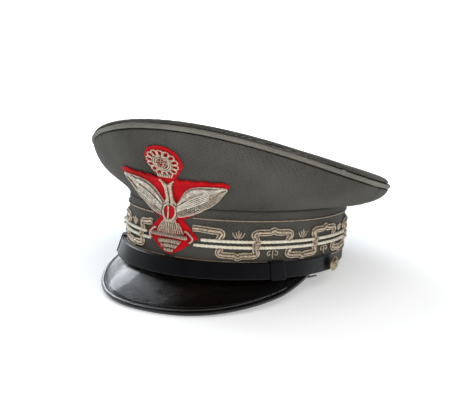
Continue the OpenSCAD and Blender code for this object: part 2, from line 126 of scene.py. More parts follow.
hemBack = Vector(mounts["rest_hem"]["pos_m"])
openingAxis = Vector(mounts["head_opening"]["axis"])
lean = math.atan2(-openingAxis.y, -openingAxis.z)
band = {
    "halfLength": (Vector(mounts["head_opening"]["pos_m"]) - hemBack).length,
    "halfWidth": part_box("band_cloth")[1].x,
    "height": 49.5 * mm,
}
crown = {
    "halfLength": 129.6 * mm,
    "halfWidth": 123.9 * mm,
    "rimHeight": 85 * mm,
    "rimSlope": 0.185,
    "rimDroop": 15.8 * mm,
    "weltHeight": 3.8 * mm,
    "rollHeight": 7.6 * mm,
}


def stand(p):
    # from the level frame to the leaning cap
    y, z = p.y - band["halfLength"], p.z
    return Vector((p.x, hemBack.y + math.cos(lean) * y + math.sin(lean) * z,
                   -math.sin(lean) * y + math.cos(lean) * z))


def ovalPoint(halfLength, halfWidth, angle):
    return Vector((halfWidth * math.sin(angle), -halfLength * math.cos(angle), 0))


def ovalNormal(halfLength, halfWidth, angle):
    return Vector((halfLength * math.sin(angle), -halfWidth * math.cos(angle), 0)).normalized()


def bandPoint(angle, z, d):
    a, b = band["halfLength"], band["halfWidth"]
    return ovalPoint(a, b, angle) + ovalNormal(a, b, angle) * d + Vector((0, 0, z))


def rimHeightAt(x, y):
    return crown["rimHeight"] - crown["rimSlope"] * y - crown["rimDroop"] * (x / 0.12) ** 2


def crownCurve(angle, t):
    # side of the crown, from the band's seam to the rim
    c = math.cos(angle)
    foot = bandPoint(angle, band["height"], 0)
    rim = ovalPoint(crown["halfLength"], crown["halfWidth"], angle)
    rim.z = rimHeightAt(rim.x, rim.y)
    d = rim - foot
    out = Vector((d.x, d.y, 0))
    p1 = foot + out * max(0.08, 0.274 - 0.393 * c) + Vector((0, 0, d.z * 0.3 * max(0, c) ** 2))
    p2 = rim - out * (0.129 + 0.058 * c) \
        - Vector((0, 0, d.z * max(0.35, 0.642 - 0.213 * c - 0.307 * math.cos(2 * angle))))
    q = 1 - t
    return foot * q ** 3 + p1 * 3 * q * q * t + p2 * 3 * q * t * t + rim * t ** 3


def crownNormal(angle, t):
    e = 0.02
    t = max(e, min(1 - e, t))
    along = crownCurve(angle + e, t) - crownCurve(angle - e, t)
    up = crownCurve(angle, t + e) - crownCurve(angle, t - e)
    return along.cross(up).normalized()


def crownPoint(angle, t, d):
    return crownCurve(angle, t) + crownNormal(angle, t) * d


meanRadius = (band["halfLength"] + band["halfWidth"]) / 2
meanRadius *= 1 + ((band["halfLength"] - band["halfWidth"]) / (2 * meanRadius)) ** 2 / 4
arcSwing = (band["halfLength"] ** 2 - band["halfWidth"] ** 2) / (8 * meanRadius)
wayRound = 2 * math.pi * meanRadius


def arcAngle(u):
    # angle at an arc of u from the front
    angle = u / meanRadius
    for _ in range(3):
        angle = (u + arcSwing * math.sin(2 * angle)) / meanRadius
    return angle


frontRise = 1.01 * math.hypot(crown["halfLength"] - band["halfLength"],
                              crown["rimHeight"] + crown["rimSlope"] * crown["halfLength"] - band["height"])


frontShift = -4.2 * mm


def frontPoint(u, v, d):
    # a point of the badge: u along the arc from its middle, v up from the hem, d off the cloth;
    # one wing was sewn on higher than the other
    angle = arcAngle(u + frontShift)
    v += 0.13 * max(0.0, -u) * max(0.0, v - 45 * mm) / (30 * mm)
    if v <= band["height"]:
        return bandPoint(angle, v, d)
    return crownPoint(angle, (v - band["height"]) / frontRise, d)


def bandSpot(u, v, d):
    return bandPoint(arcAngle(u), v, d)


# ---- mesh helpers ----

def addSheet(bm, across, along, place, size=(1, 1)):
    # a grid whose point at (s, t) goes to place(s, t); its UV is (s, t) times size, in metres
    made = bmesh.ops.create_grid(bm, x_segments=across, y_segments=along, size=0.5)["verts"]
    uv = bm.loops.layers.uv.verify()
    spots = {}
    for vert in made:
        spots[vert] = (vert.co.x + 0.5, vert.co.y + 0.5)
    faces = {face for vert in made for face in vert.link_faces}
    for face in faces:
        face.smooth = True
        for loop in face.loops:
            s, t = spots[loop.vert]
            loop[uv].uv = (s * size[0], t * size[1])
    for vert, (s, t) in spots.items():
        vert.co = place(s, t)
    return made


def pathLengths(points):
    total = [0.0]
    for a, b in zip(points, points[1:]):
        total.append(total[-1] + (b - a).length)
    return total


def roundPath(points, step, cuts=3):
    # rounds a bent line's corners, then spaces its points evenly
    line = [Vector((p[0], p[1], 0)) for p in points]
    for _ in range(cuts):
        cut = [line[0]]
        for a, b in zip(line, line[1:]):
            cut += [a.lerp(b, 0.25), a.lerp(b, 0.75)]
        line = cut + [line[-1]]
    return spacePath(line, step)


def spacePath(line, step):
    lengths = pathLengths(line)
    count = max(2, round(lengths[-1] / step))
    spaced, k = [], 0
    for i in range(count + 1):
        want = lengths[-1] * i / count
        while k < len(lengths) - 2 and lengths[k + 1] < want:
            k += 1
        span = lengths[k + 1] - lengths[k]
        spaced.append(line[k].lerp(line[k + 1], (want - lengths[k]) / span if span > 0 else 0))
    return spaced


def offsetPath(line, shift):
    # the same line, shifted sideways in its own plane
    moved = []
    for i, p in enumerate(line):
        way = (line[min(i + 1, len(line) - 1)] - line[max(i - 1, 0)]).normalized()
        moved.append(p + Vector((-way.y, way.x, 0)) * shift)
    return moved


def addCord(bm, line, surface, lift, wide, high, sides=8, lobes=0, pitch=1, depth=0, ends=True):
    # a laid cord along a line of (u, v) on a surface; lobes twist round it once every pitch
    middle, up, side = [], [], []
    for i, p in enumerate(line):
        rise = lift(i / (len(line) - 1)) if callable(lift) else lift
        here = surface(p.x, p.y, rise)
        middle.append(here)
        up.append((surface(p.x, p.y, rise + mm) - here).normalized())
    lengths = pathLengths(middle)
    for i in range(len(middle)):
        way = middle[min(i + 1, len(middle) - 1)] - middle[max(i - 1, 0)]
        side.append(way.cross(up[i]).normalized())
    last = len(line) - 1

    def place(s, t):
        i = round(t * last)
        turn = 2 * math.pi * s
        grow = 1 + depth * math.cos(lobes * turn - 2 * math.pi * lengths[i] / pitch) if lobes else 1
        if ends and i in (0, last):
            grow = 0
        across, above = side[i] * wide * math.cos(turn), up[i] * high * math.sin(turn)
        return stand(middle[i] + (across + above) * grow)

    addSheet(bm, sides, last, place, (2 * math.pi * wide, lengths[-1]))


def addStitch(bm, a, b, surface, lift, wide, arch, sides=5, rings=4):
    # one short padded stitch between two (u, v) points
    line = [Vector((mix(a[0], b[0], i / rings), mix(a[1], b[1], i / rings), 0)) for i in range(rings + 1)]
    addCord(bm, line, surface, lambda t: lift + arch * math.sin(math.pi * t), wide, wide, sides)


def finishPiece(name, bm, materials, body, slot, nodes=(), weld=1e-6, thick=0, offset=-1):
    bmesh.ops.remove_doubles(bm, verts=bm.verts, dist=weld)
    bmesh.ops.recalc_face_normals(bm, faces=bm.faces)
    mesh = bpy.data.meshes.new(name)
    bm.to_mesh(mesh)
    bm.free()
    mesh.uv_layers[0].name = "surface"
    piece = bpy.data.objects.new(name, mesh)
    scene.collection.objects.link(piece)
    for material in materials:
        mesh.materials.append(material)
    if thick:
        wall = piece.modifiers.new("wall", "SOLIDIFY")
        wall.thickness, wall.offset = thick, offset
    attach(piece, body)
    if nodes:
        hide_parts(*nodes)
    return piece


# ---- view, floor and light ----

print("view and light")
view = {
    "azimuth": math.radians(28.26),
    "elevation": math.radians(14.75),
    "distance": 0.9,
    "lens": 84.6,
    "offset": (-8.6 * mm, -5.1 * mm, 51.8 * mm),
}
middle = (cadLow + cadHigh) / 2
target = Vector((middle.x, middle.y, 0)) + Vector(view["offset"])
back = Vector((math.sin(view["azimuth"]) * math.cos(view["elevation"]),
               -math.cos(view["azimuth"]) * math.cos(view["elevation"]), math.sin(view["elevation"])))
cameraData = bpy.data.cameras.new("camera")
cameraData.lens = view["lens"]
cameraData.clip_start = 0.01
camera = bpy.data.objects.new("camera", cameraData)
camera.location = target + back * view["distance"]
camera.rotation_euler = back.to_track_quat("Z", "Y").to_euler()
scene.collection.objects.link(camera)
scene.camera = camera
scene.view_settings.view_transform = "Standard"


def addLight(name, place, size, power, hexCode, mirrored):
    data = bpy.data.lights.new(name, "AREA")
    data.shape = "RECTANGLE"
    data.size, data.size_y = size
    data.energy = power
    data.color = linearColour(hexCode)[:3]
    lamp = bpy.data.objects.new(name, data)
    lamp.location = place
    lamp.rotation_euler = (Vector(place) - target).to_track_quat("Z", "Y").to_euler()
    lamp.visible_glossy = mirrored
    scene.collection.objects.link(lamp)


addLight("sideSoftbox", (-1.5, 0.85, 0.95), (1.3, 0.75), 26, "#f2f8ff", True)
addLight("overheadScrim", (0.5, -0.2, 1.9), (2.4, 2.4), 22, "#fffaf2", False)
addLight("fillPanel", (1.3, -1.4, 1.0), (1.5, 1.3), 14, "#fff6ea", False)

world = bpy.data.worlds.new("studio")
world.use_nodes = True
scene.world = world
sky = world.node_tree
direction = addNode(sky, "ShaderNodeTexCoord").outputs["Generated"]
height = addNode(sky, "ShaderNodeSeparateXYZ", {"Vector": direction}).outputs["Z"]
# pale walls under a dark ceiling
walls = colourRamp(sky, height, [(0.0, "#f4f8ff"), (0.4, "#dfe6f0"), (0.65, "#2a2c30"), (0.8, "#08080a")])
sky.links.new(walls, sky.nodes["Background"].inputs["Color"])
sky.nodes["Background"].inputs["Strength"].default_value = 0.32


def paleFloor():
    # matt paper with a painted glow of its own, so it burns out to white; the glow is dimmer near the cap, a painted
    # shade round it
    material, tree, shader = startMaterial("coatedPaperSweep", Roughness=0.9, Specular_IOR_Level=0.1,
                                           Base_Color=linearColour("#eef2f7"),
                                           Emission_Color=linearColour("#fbfdff"))
    spot = addNode(tree, "ShaderNodeTexCoord").outputs["Object"]
    away = addNode(tree, "ShaderNodeVectorMath", {0: spot}, operation="LENGTH").outputs["Value"]
    # painted glow that rises with distance from the middle, leaving a painted shade on the floor round the cap
    paintedGlowAndShade = addNode(tree, "ShaderNodeMapRange",
                   {"Value": away, "From Min": 0.12, "From Max": 0.5, "To Min": 0.38,
                                                "To Max": 1.0})
    tree.links.new(paintedGlowAndShade.outputs["Result"], shader.inputs["Emission Strength"])
    grain = addNode(tree, "ShaderNodeTexNoise", {"Scale": 900, "Detail": 2})
    bump = addNode(tree, "ShaderNodeBump",
                   {"Height": grain.outputs["Fac"], "Strength": 0.03, "Distance": 0.0002})
    tree.links.new(bump.outputs["Normal"], shader.inputs["Normal"])
    return material


floorMesh = bmesh.new()
bmesh.ops.create_grid(floorMesh, x_segments=8, y_segments=8, size=6)
floorData = bpy.data.meshes.new("floor")
floorMesh.to_mesh(floorData)
floorMesh.free()
floorData.materials.append(paleFloor())
floor = bpy.data.objects.new("floor", floorData)
floor.location.z = -0.0002
scene.collection.objects.link(floor)


# ---- materials ----

def surfaceUv(tree, scale=(1, 1, 1), turn=0):
    # the sheet's own metres, stretched and turned
    source = addNode(tree, "ShaderNodeUVMap", uv_map="surface").outputs["UV"]
    return addNode(tree, "ShaderNodeMapping", {"Vector": source, "Scale": scale,
                                               "Rotation": (0, 0, turn)}).outputs["Vector"]


def objectSpot(tree):
    return addNode(tree, "ShaderNodeTexCoord").outputs["Object"]


def greyTwill(name="wovenGreyGreenWoolTwill", dark="#080806", light="#67655f", rib=0.95 * mm, turn=0.9):
    # fine steep ribs of mixed grey-green yarn under a soft bloom of fibres
    material, tree, shader = startMaterial(name, Roughness=0.92, Sheen_Weight=0.22, Sheen_Roughness=0.45,
                                           Specular_IOR_Level=0.2, Sheen_Tint=linearColour("#b9bab0"))
    ribs = addNode(tree, "ShaderNodeTexWave", {"Vector": surfaceUv(tree, turn=turn), "Scale": waveScale(rib),
                                               "Distortion": 1.6, "Detail": 2, "Detail Scale": 2.5})
    yarn = addNode(tree, "ShaderNodeTexNoise", {"Vector": surfaceUv(tree, (1, 2.2, 1), turn), "Scale": 620,
                                                "Detail": 4, "Roughness": 0.7})
    patches = addNode(tree, "ShaderNodeTexNoise", {"Vector": objectSpot(tree), "Scale": 22, "Detail": 4})
    tone = addNode(tree, "ShaderNodeMix",
                   {"Factor": 0.55, "A": ribs.outputs["Fac"], "B": yarn.outputs["Fac"]})
    worn = addNode(tree, "ShaderNodeMath", {0: patches.outputs["Fac"], 1: 0.35, 2: tone.outputs["Result"]},
                   operation="MULTIPLY_ADD")
    tree.links.new(colourRamp(tree, worn.outputs["Value"], [(0.45, dark), (0.9, light)]),
                   shader.inputs["Base Color"])
    bump = addNode(tree, "ShaderNodeBump", {"Height": tone.outputs["Result"], "Strength": 0.8,
                                            "Distance": 0.0003})
    tree.links.new(bump.outputs["Normal"], shader.inputs["Normal"])
    return material


def metalThread(name, dark, light, coil=0.32 * mm, rough=0.36, patch=120, metallic=0.85):
    # fine wire wound on a core: bright flecks over tarnish, with painted shade darkening the gaps between threads
    material, tree, shader = startMaterial(name, Roughness=rough, Metallic=metallic)
    winding = addNode(tree, "ShaderNodeTexWave",
                      {"Vector": surfaceUv(tree, turn=1.1), "Scale": waveScale(coil),
                                                  "Distortion": 1.2, "Detail": 1})
    tarnish = addNode(tree, "ShaderNodeTexNoise", {"Vector": objectSpot(tree), "Scale": patch * 4,
                                                   "Detail": 5, "Roughness": 0.7})
    fleck = addNode(tree, "ShaderNodeTexNoise", {"Vector": objectSpot(tree), "Scale": 1300, "Detail": 2})
    blend = addNode(tree, "ShaderNodeMath", {0: fleck.outputs["Fac"], 1: 0.7, 2: tarnish.outputs["Fac"]},
                    operation="MULTIPLY_ADD")
    # painted shade: ambient occlusion darkens the colour in the gaps between threads
    gaps = addNode(tree, "ShaderNodeAmbientOcclusion", {"Distance": 0.0012}, samples=4).outputs["AO"]
    gapPaintedShade = addNode(tree, "ShaderNodeMapRange", {"Value": gaps, "From Min": 0.35, "From Max": 0.85,
                                                    "To Min": -0.45, "To Max": 0.0})
    shade = addNode(tree, "ShaderNodeMath", {0: blend.outputs["Value"], 1: gapPaintedShade.outputs["Result"]})
    tree.links.new(colourRamp(tree, shade.outputs["Value"], [(0.45, dark), (0.92, light)]),
                   shader.inputs["Base Color"])
    roughness = addNode(tree, "ShaderNodeMapRange", {"Value": blend.outputs["Value"], "From Min": 0.4,
                                                     "From Max": 0.9, "To Min": rough + 0.25,
                                                     "To Max": rough})
    tree.links.new(roughness.outputs["Result"], shader.inputs["Roughness"])
    bump = addNode(tree, "ShaderNodeBump", {"Height": winding.outputs["Fac"], "Strength": 0.6,
                                            "Distance": 0.00012})
    tree.links.new(bump.outputs["Normal"], shader.inputs["Normal"])
    return material


def twistedCotton():
    # soft cream cord, darker in the hollows between its strands and a little grubby in patches
    material, tree, shader = startMaterial("twistedCreamCotton", Roughness=0.8, Sheen_Weight=0.3,
                                           Specular_IOR_Level=0.25, Subsurface_Weight=0.05)
    strands = addNode(tree, "ShaderNodeTexWave",
                      {"Vector": surfaceUv(tree, turn=0.7), "Scale": waveScale(0.5 * mm),
                                                  "Distortion": 1})
    soil = addNode(tree, "ShaderNodeTexNoise", {"Vector": objectSpot(tree), "Scale": 240, "Detail": 4})
    tone = addNode(tree, "ShaderNodeMix",
                   {"Factor": 0.6, "A": strands.outputs["Fac"], "B": soil.outputs["Fac"]})
    tree.links.new(colourRamp(tree, tone.outputs["Result"], [(0.2, "#b9ab88"), (0.55, "#fbf5e4")]),
                   shader.inputs["Base Color"])
    bump = addNode(tree, "ShaderNodeBump", {"Height": strands.outputs["Fac"], "Strength": 0.4,
                                            "Distance": 0.00012})
    tree.links.new(bump.outputs["Normal"], shader.inputs["Normal"])
    return material


def scarletFelt():
    # pressed scarlet wool: matt, with a fuzzy mottle
    material, tree, shader = startMaterial("pressedScarletFelt", Roughness=0.95, Sheen_Weight=0.3,
                                           Specular_IOR_Level=0.15, Sheen_Tint=linearColour("#ff8080"))
    fibres = addNode(tree, "ShaderNodeTexNoise", {"Vector": objectSpot(tree), "Scale": 1400, "Detail": 5})
    clumps = addNode(tree, "ShaderNodeTexNoise", {"Vector": objectSpot(tree), "Scale": 160, "Detail": 3})
    tone = addNode(tree, "ShaderNodeMix",
                   {"Factor": 0.5, "A": fibres.outputs["Fac"], "B": clumps.outputs["Fac"]})
    tree.links.new(colourRamp(tree, tone.outputs["Result"], [(0.3, "#8c0610"), (0.65, "#d81420")]),
                   shader.inputs["Base Color"])
    bump = addNode(tree, "ShaderNodeBump", {"Height": fibres.outputs["Fac"], "Strength": 0.5,
                                            "Distance": 0.0002})
    tree.links.new(bump.outputs["Normal"], shader.inputs["Normal"])
    return material


def patentLeather():
    # black lacquer on leather: a deep mirror broken by fine age crazing
    material, tree, shader = startMaterial("lacqueredBlackLeather", Roughness=0.3, Coat_Weight=1.0,
                                           Coat_Roughness=0.06, Coat_IOR=1.5, Specular_IOR_Level=0.1)
    cells = addNode(tree, "ShaderNodeTexVoronoi", {"Vector": objectSpot(tree), "Scale": 420},
                    feature="DISTANCE_TO_EDGE")
    finer = addNode(tree, "ShaderNodeTexVoronoi", {"Vector": objectSpot(tree), "Scale": 1150},
                    feature="DISTANCE_TO_EDGE")
    waves = addNode(tree, "ShaderNodeTexNoise", {"Vector": objectSpot(tree), "Scale": 60, "Detail": 3})
    crack = colourRamp(tree, cells.outputs["Distance"], [(0.0, "#000000"), (0.06, "#ffffff")])
    crackle = colourRamp(tree, finer.outputs["Distance"], [(0.0, "#606060"), (0.08, "#ffffff")])
    both = addNode(tree, "ShaderNodeMath", {0: crack, 1: crackle}, operation="MULTIPLY")
    tree.links.new(colourRamp(tree, both.outputs["Value"], [(0.2, "#0d0907"), (0.8, "#020202")]),
                   shader.inputs["Base Color"])
    dips = addNode(tree, "ShaderNodeBump", {"Height": both.outputs["Value"], "Strength": 0.5,
                                            "Distance": 0.00012})
    rolls = addNode(tree, "ShaderNodeBump",
                    {"Height": waves.outputs["Fac"], "Strength": 0.35, "Distance": 0.001,
                                             "Normal": dips.outputs["Normal"]})
    for socket in ("Normal", "Coat Normal"):
        tree.links.new(rolls.outputs["Normal"], shader.inputs[socket])
    return material


def grainedLeather(name, dark, light, grain=900, rough=0.42, coat=0.25, depth=0.00012, gloss=0.45):
    # tanned hide: pebbled grain, rubbed paler in patches
    material, tree, shader = startMaterial(name, Roughness=rough, Coat_Weight=coat, Coat_Roughness=0.25,
                                           Specular_IOR_Level=gloss)
    pebbles = addNode(tree, "ShaderNodeTexVoronoi", {"Vector": objectSpot(tree), "Scale": grain})
    rubbed = addNode(tree, "ShaderNodeTexNoise", {"Vector": objectSpot(tree), "Scale": 70, "Detail": 5})
    tree.links.new(colourRamp(tree, rubbed.outputs["Fac"], [(0.35, dark), (0.7, light)]),
                   shader.inputs["Base Color"])
    roughness = addNode(tree, "ShaderNodeMapRange", {"Value": rubbed.outputs["Fac"], "To Min": rough - 0.1,
                                                     "To Max": rough + 0.18})
    tree.links.new(roughness.outputs["Result"], shader.inputs["Roughness"])
    bump = addNode(tree, "ShaderNodeBump", {"Height": pebbles.outputs["Distance"], "Strength": 0.4,
                                            "Distance": depth})
    tree.links.new(bump.outputs["Normal"], shader.inputs["Normal"])
    return material


def wovenSatin(name, dark, light):
    # weft-faced silk: a fine cross weave with a soft long shine
    material, tree, shader = startMaterial(name, Roughness=0.38, Sheen_Weight=0.2, Anisotropic=0.5)
    weft = addNode(tree, "ShaderNodeTexWave", {"Vector": surfaceUv(tree), "Scale": waveScale(0.3 * mm),
                                               "Distortion": 0.6}, bands_direction="Y")
    soft = addNode(tree, "ShaderNodeTexNoise", {"Vector": objectSpot(tree), "Scale": 30, "Detail": 4})
    tree.links.new(colourRamp(tree, soft.outputs["Fac"], [(0.35, dark), (0.7, light)]),
                   shader.inputs["Base Color"])
    bump = addNode(tree, "ShaderNodeBump", {"Height": weft.outputs["Fac"], "Strength": 0.3,
                                            "Distance": 0.00006})
    tree.links.new(bump.outputs["Normal"], shader.inputs["Normal"])
    return material


def clearFilm():
    # yellowed acetate sweat shield, with shallow ripples
    material, tree, shader = startMaterial("pressedAcetateFilm", Roughness=0.12, Transmission_Weight=0.75,
                                           IOR=1.45,
                                           Alpha=0.6)
    ripples = addNode(tree, "ShaderNodeTexNoise", {"Vector": objectSpot(tree), "Scale": 45, "Detail": 2})
    tree.links.new(colourRamp(tree, ripples.outputs["Fac"], [(0.3, "#d9c896"), (0.7, "#efe6c2")]),
                   shader.inputs["Base Color"])
    bump = addNode(tree, "ShaderNodeBump",
                   {"Height": ripples.outputs["Fac"], "Strength": 0.5, "Distance": 0.001})
    tree.links.new(bump.outputs["Normal"], shader.inputs["Normal"])
    return material


def pressedBoard():
    # rolled fibre board: dull brown with short dark fibres
    material, tree, shader = startMaterial("rolledFibreBoard", Roughness=0.85, Specular_IOR_Level=0.2)
    fibres = addNode(tree, "ShaderNodeTexNoise", {"Vector": objectSpot(tree), "Scale": 500, "Detail": 6,
                                                  "Distortion": 1.5})
    tree.links.new(colourRamp(tree, fibres.outputs["Fac"], [(0.35, "#4d3a26"), (0.65, "#86694a")]),
                   shader.inputs["Base Color"])
    bump = addNode(tree, "ShaderNodeBump",
                   {"Height": fibres.outputs["Fac"], "Strength": 0.3, "Distance": 0.0002})
    tree.links.new(bump.outputs["Normal"], shader.inputs["Normal"])
    return material


def agedMetal(name, dark, light, rough=0.34, scale=180):
    # cast and handled metal: brown tarnish in the hollows, bright where rubbed
    material, tree, shader = startMaterial(name, Roughness=rough, Metallic=1.0)
    stains = addNode(tree, "ShaderNodeTexNoise", {"Vector": objectSpot(tree), "Scale": scale, "Detail": 6,
                                                  "Roughness": 0.7})
    edges = addNode(tree, "ShaderNodeNewGeometry").outputs["Pointiness"]
    rubbed = addNode(tree, "ShaderNodeMapRange", {"Value": edges, "From Min": 0.44, "From Max": 0.56})
    tone = addNode(tree, "ShaderNodeMix", {"Factor": 0.45, "A": rubbed.outputs["Result"],
                                           "B": stains.outputs["Fac"]})
    tree.links.new(colourRamp(tree, tone.outputs["Result"], [(0.3, dark), (0.75, light)]),
                   shader.inputs["Base Color"])
    roughness = addNode(tree, "ShaderNodeMapRange", {"Value": stains.outputs["Fac"], "To Min": rough + 0.2,
                                                     "To Max": rough - 0.08})
    tree.links.new(roughness.outputs["Result"], shader.inputs["Roughness"])
    bump = addNode(tree, "ShaderNodeBump",
                   {"Height": stains.outputs["Fac"], "Strength": 0.2, "Distance": 0.0002})
    tree.links.new(bump.outputs["Normal"], shader.inputs["Normal"])
    return material


print("materials")
twill = greyTwill()
weltTwill = greyTwill("biasCutGreyTwill", "#2a2925", "#a19e94", 0.9 * mm, 0.35)
bullion = metalThread("woundSilverBullion", "#4a3628", "#f2dfc6", metallic=0.6)
brightBullion = metalThread("polishedSilverPurl", "#6a5642", "#fff2dc", rough=0.28, metallic=0.6)
paleThread = metalThread("floatedSilverThread", "#6b6152", "#fff6e6", rough=0.34, patch=90, metallic=0.55)
copperCord = metalThread("coupledCopperCord", "#3a2e26", "#c4b09c", rough=0.45, metallic=0.6)
roseThread = metalThread("floatedRoseSilverThread", "#8f7468", "#f0d8cc", rough=0.32)
cotton = twistedCotton()
felt = scarletFelt()
patent = patentLeather()
strapHide = grainedLeather("dressedBlackStrapLeather", "#030305", "#08080c", 700, 0.42, 0.22, gloss=0.25)
visorHide = grainedLeather("waxedBlackLiningLeather", "#10100f", "#24211e", 500, 0.5, 0.1, 0.0002)
sweatHide = grainedLeather("vegetableTannedSheepskin", "#7a5234", "#a67a52", 600, 0.5, 0.1, 0.0002)
satin = wovenSatin("wovenOliveSatin", "#6e6a4c", "#8f8a66")
ribbon = wovenSatin("wovenBlackRibbon", "#0b0b0c", "#1c1b1d")
film = clearFilm()
board = pressedBoard()
brass = agedMetal("castGiltBrass", "#4a3c2e", "#e8d6b6")
wire = agedMetal("drawnSteelWire", "#4a4a4c", "#9a9a9c", 0.3, 300)


# ---- crown and band ----

print("crown")
sides = {"seamDepth": 0.7 * mm, "seamWidth": 1.1 * mm, "wrinkle": 1.1 * mm, "pucker": 0.22 * mm}


def crownSide(s, t):
    angle = 2 * math.pi * s
    p = crownCurve(angle, t)
    seam = min(abs(math.remainder(angle - k * math.pi / 2, 2 * math.pi)) for k in range(4)) * 0.11
    d = -sides["seamDepth"] * math.exp(-(seam / sides["seamWidth"]) ** 2)
    d += 0.3 * mm * math.exp(-((seam - 2.6 * mm) / (1.5 * mm)) ** 2)
    rear = 0.35 + 0.65 * (1 - math.cos(angle)) / 2
    folds = noise.noise(Vector((p.x * 16, p.y * 16, p.z * 30))) - 0.1
    d += sides["wrinkle"] * rear * folds * math.sin(math.pi * t)
    d += sides["pucker"] * math.sin(angle * 74 + 2 * noise.noise(p * 40)) * smooth(0.8, 1, t)
    d += sides["pucker"] * math.sin(angle * 61 + 2 * noise.noise(p * 37)) * smooth(0.2, 0, t)
    return stand(crownPoint(angle, t, d * smooth(0, 0.02, t)))


bm = bmesh.new()
addSheet(bm, 480, 56, lambda s, t: crownSide(s, mix(0.004, 0.985, t)), (0.72, 0.075))
finishPiece("crown_sides", bm, [twill], "cap", "wool_twill",
            ["side_panel_front_left", "side_panel_front_right", "side_panel_rear_left",
             "side_panel_rear_right"], thick=1.1 * mm)

# the top: dome, rolled edge, and its turned-in lip; [share of the way in from the rim, or mm inset, up]
topEdge = [(2.1, 6.0), (1.0, 5.0), (0.2, 5.3), (0.35, 6.0), (1.0, 6.7), (2.0, 7.3), (3.4, 7.7), (5.2, 7.9),
           (7.5, 8.0)]


def topPoint(s, t):
    angle = 2 * math.pi * s
    rows = len(topEdge) + 15
    row = t * rows
    if row <= len(topEdge) - 1:
        i = min(int(row), len(topEdge) - 2)
        inset = mix(topEdge[i][0], topEdge[i + 1][0], row - i) * mm
        up = mix(topEdge[i][1], topEdge[i + 1][1], row - i) * mm
        p = ovalPoint(crown["halfLength"] - inset, crown["halfWidth"] - inset, angle)
        ripple = 0.12 * mm * math.sin(angle * 83 + 2 * noise.noise(p * 35)) * smooth(2.5, 6, row)
    else:
        share = 1 - (row - len(topEdge) + 1) / (rows - len(topEdge) + 1)
        share *= 1 - 7.5 * mm / crown["halfWidth"]
        p = ovalPoint(crown["halfLength"] * share, crown["halfWidth"] * share, angle)
        up = 8 * mm + 1.2 * mm * (1 - share)
        ripple = 0.9 * mm * noise.noise(Vector((p.x * 14, p.y * 14, 3))) * smooth(1, 0.75, share)
    return stand(Vector((p.x, p.y, rimHeightAt(p.x, p.y) + up + ripple)))


bm = bmesh.new()
addSheet(bm, 360, len(topEdge) + 15, topPoint, (0.8, 0.13))
uv = bm.loops.layers.uv.verify()
for face in bm.faces:
    for loop in face.loops:
        loop[uv].uv = (loop.vert.co.x, loop.vert.co.y)
finishPiece("crown_top", bm, [twill], "cap", "wool_twill", ["top_panel"], thick=1.0 * mm)

weltShape = {"inset": 0.4 * mm, "halfWidth": 1.9 * mm, "halfHeight": crown["weltHeight"] / 2}


def weltPoint(s, t):
    angle, k = 2 * math.pi * s, 2 * math.pi * t
    normal = ovalNormal(crown["halfLength"], crown["halfWidth"], angle)
    p = ovalPoint(crown["halfLength"], crown["halfWidth"], angle) - normal * weltShape["inset"]
    up = weltShape["halfHeight"] + 0.25 * mm + weltShape["halfHeight"] * math.sin(k)
    wide = weltShape["halfWidth"] + 0.07 * mm * math.sin(angle * 150)
    q = p + normal * wide * math.copysign(abs(math.cos(k)) ** 0.8, math.cos(k))
    return Vector((q.x, q.y, rimHeightAt(p.x, p.y) + up))


bm = bmesh.new()
addSheet(bm, 480, 16, lambda s, t: stand(weltPoint(s, t)), (0.8, 0.012))
finishPiece("rim_piping", bm, [weltTwill], "cap", "wool_twill", ["rim_welt"])


def addFlatStitch(bm, a, b, up, wide, high):
    # a thread lying from a to b, both already in place
    way = (b - a).normalized()
    side = way.cross(up).normalized()

    def place(s, t):
        rise = math.sin(math.pi * t)
        spot = a.lerp(b, t) + up * high * (rise * 1.2 - 0.2)
        k = 2 * math.pi * s
        grow = 0.35 + 0.65 * rise
        return spot + side * wide * grow * math.cos(k) + up * high * grow * math.sin(k)

    addSheet(bm, 5, 4, place, (2 * math.pi * wide, (b - a).length))


print("band")


def bandCloth(s, t):
    angle = 2 * math.pi * s
    p = bandPoint(angle, 0, 0)
    d = 0.25 * mm * (noise.noise(Vector((p.x * 30, p.y * 30, t * 3))) - 0.2)
    seam = abs(math.remainder(angle - math.pi, 2 * math.pi)) * 0.1
    d -= 0.5 * mm * math.exp(-(seam / (0.9 * mm)) ** 2)
    d -= 0.7 * mm * smooth(0.975, 1, t)
    return stand(bandPoint(angle, t * (band["height"] - 0.25 * mm), d))


bm = bmesh.new()
addSheet(bm, 360, 30, bandCloth, (wayRound, band["height"]))
finishPiece("band_cover", bm, [twill], "cap", "wool_twill", ["band_cloth"], thick=1.1 * mm)


def ringLine(v, start, step):
    count = round((wayRound - 2 * start) / step)
    return [Vector((frontShift + mix(start, wayRound - start, i / count), v, 0)) for i in range(count + 1)]


cords = {
    "rank": {"heights": (21.1 * mm, 25.6 * mm), "radius": 1.2 * mm, "starts": (19.5 * mm, 25 * mm),
             "pitch": 3.6 * mm},
    "border": {"heights": (9.7 * mm, 41.6 * mm), "radius": 0.5 * mm, "starts": (4.5 * mm, 18 * mm),
               "pitch": 1.6 * mm},
}
for kind, name, i, node, material, slot in (
        ("rank", "rank_cord_low", 0, "rank_cord_lower", cotton, "rank_cord"),
        ("rank", "rank_cord_high", 1, "rank_cord_upper", cotton, "rank_cord"),
        ("border", "border_line_low", 0, "border_cord_bottom", copperCord, "silver_bullion"),
        ("border", "border_line_high", 1, "border_cord_top", copperCord, "silver_bullion")):
    shape = cords[kind]
    bm = bmesh.new()
    addCord(bm, ringLine(shape["heights"][i], shape["starts"][i], shape["pitch"] / 5), bandSpot,
            0.2 * mm + shape["radius"], shape["radius"] * 0.97, shape["radius"] * 0.97, 10, 2, shape["pitch"],
            0.13)
    finishPiece(name, bm, [material], "cap", slot, [node])


# ---- meander embroidery ----

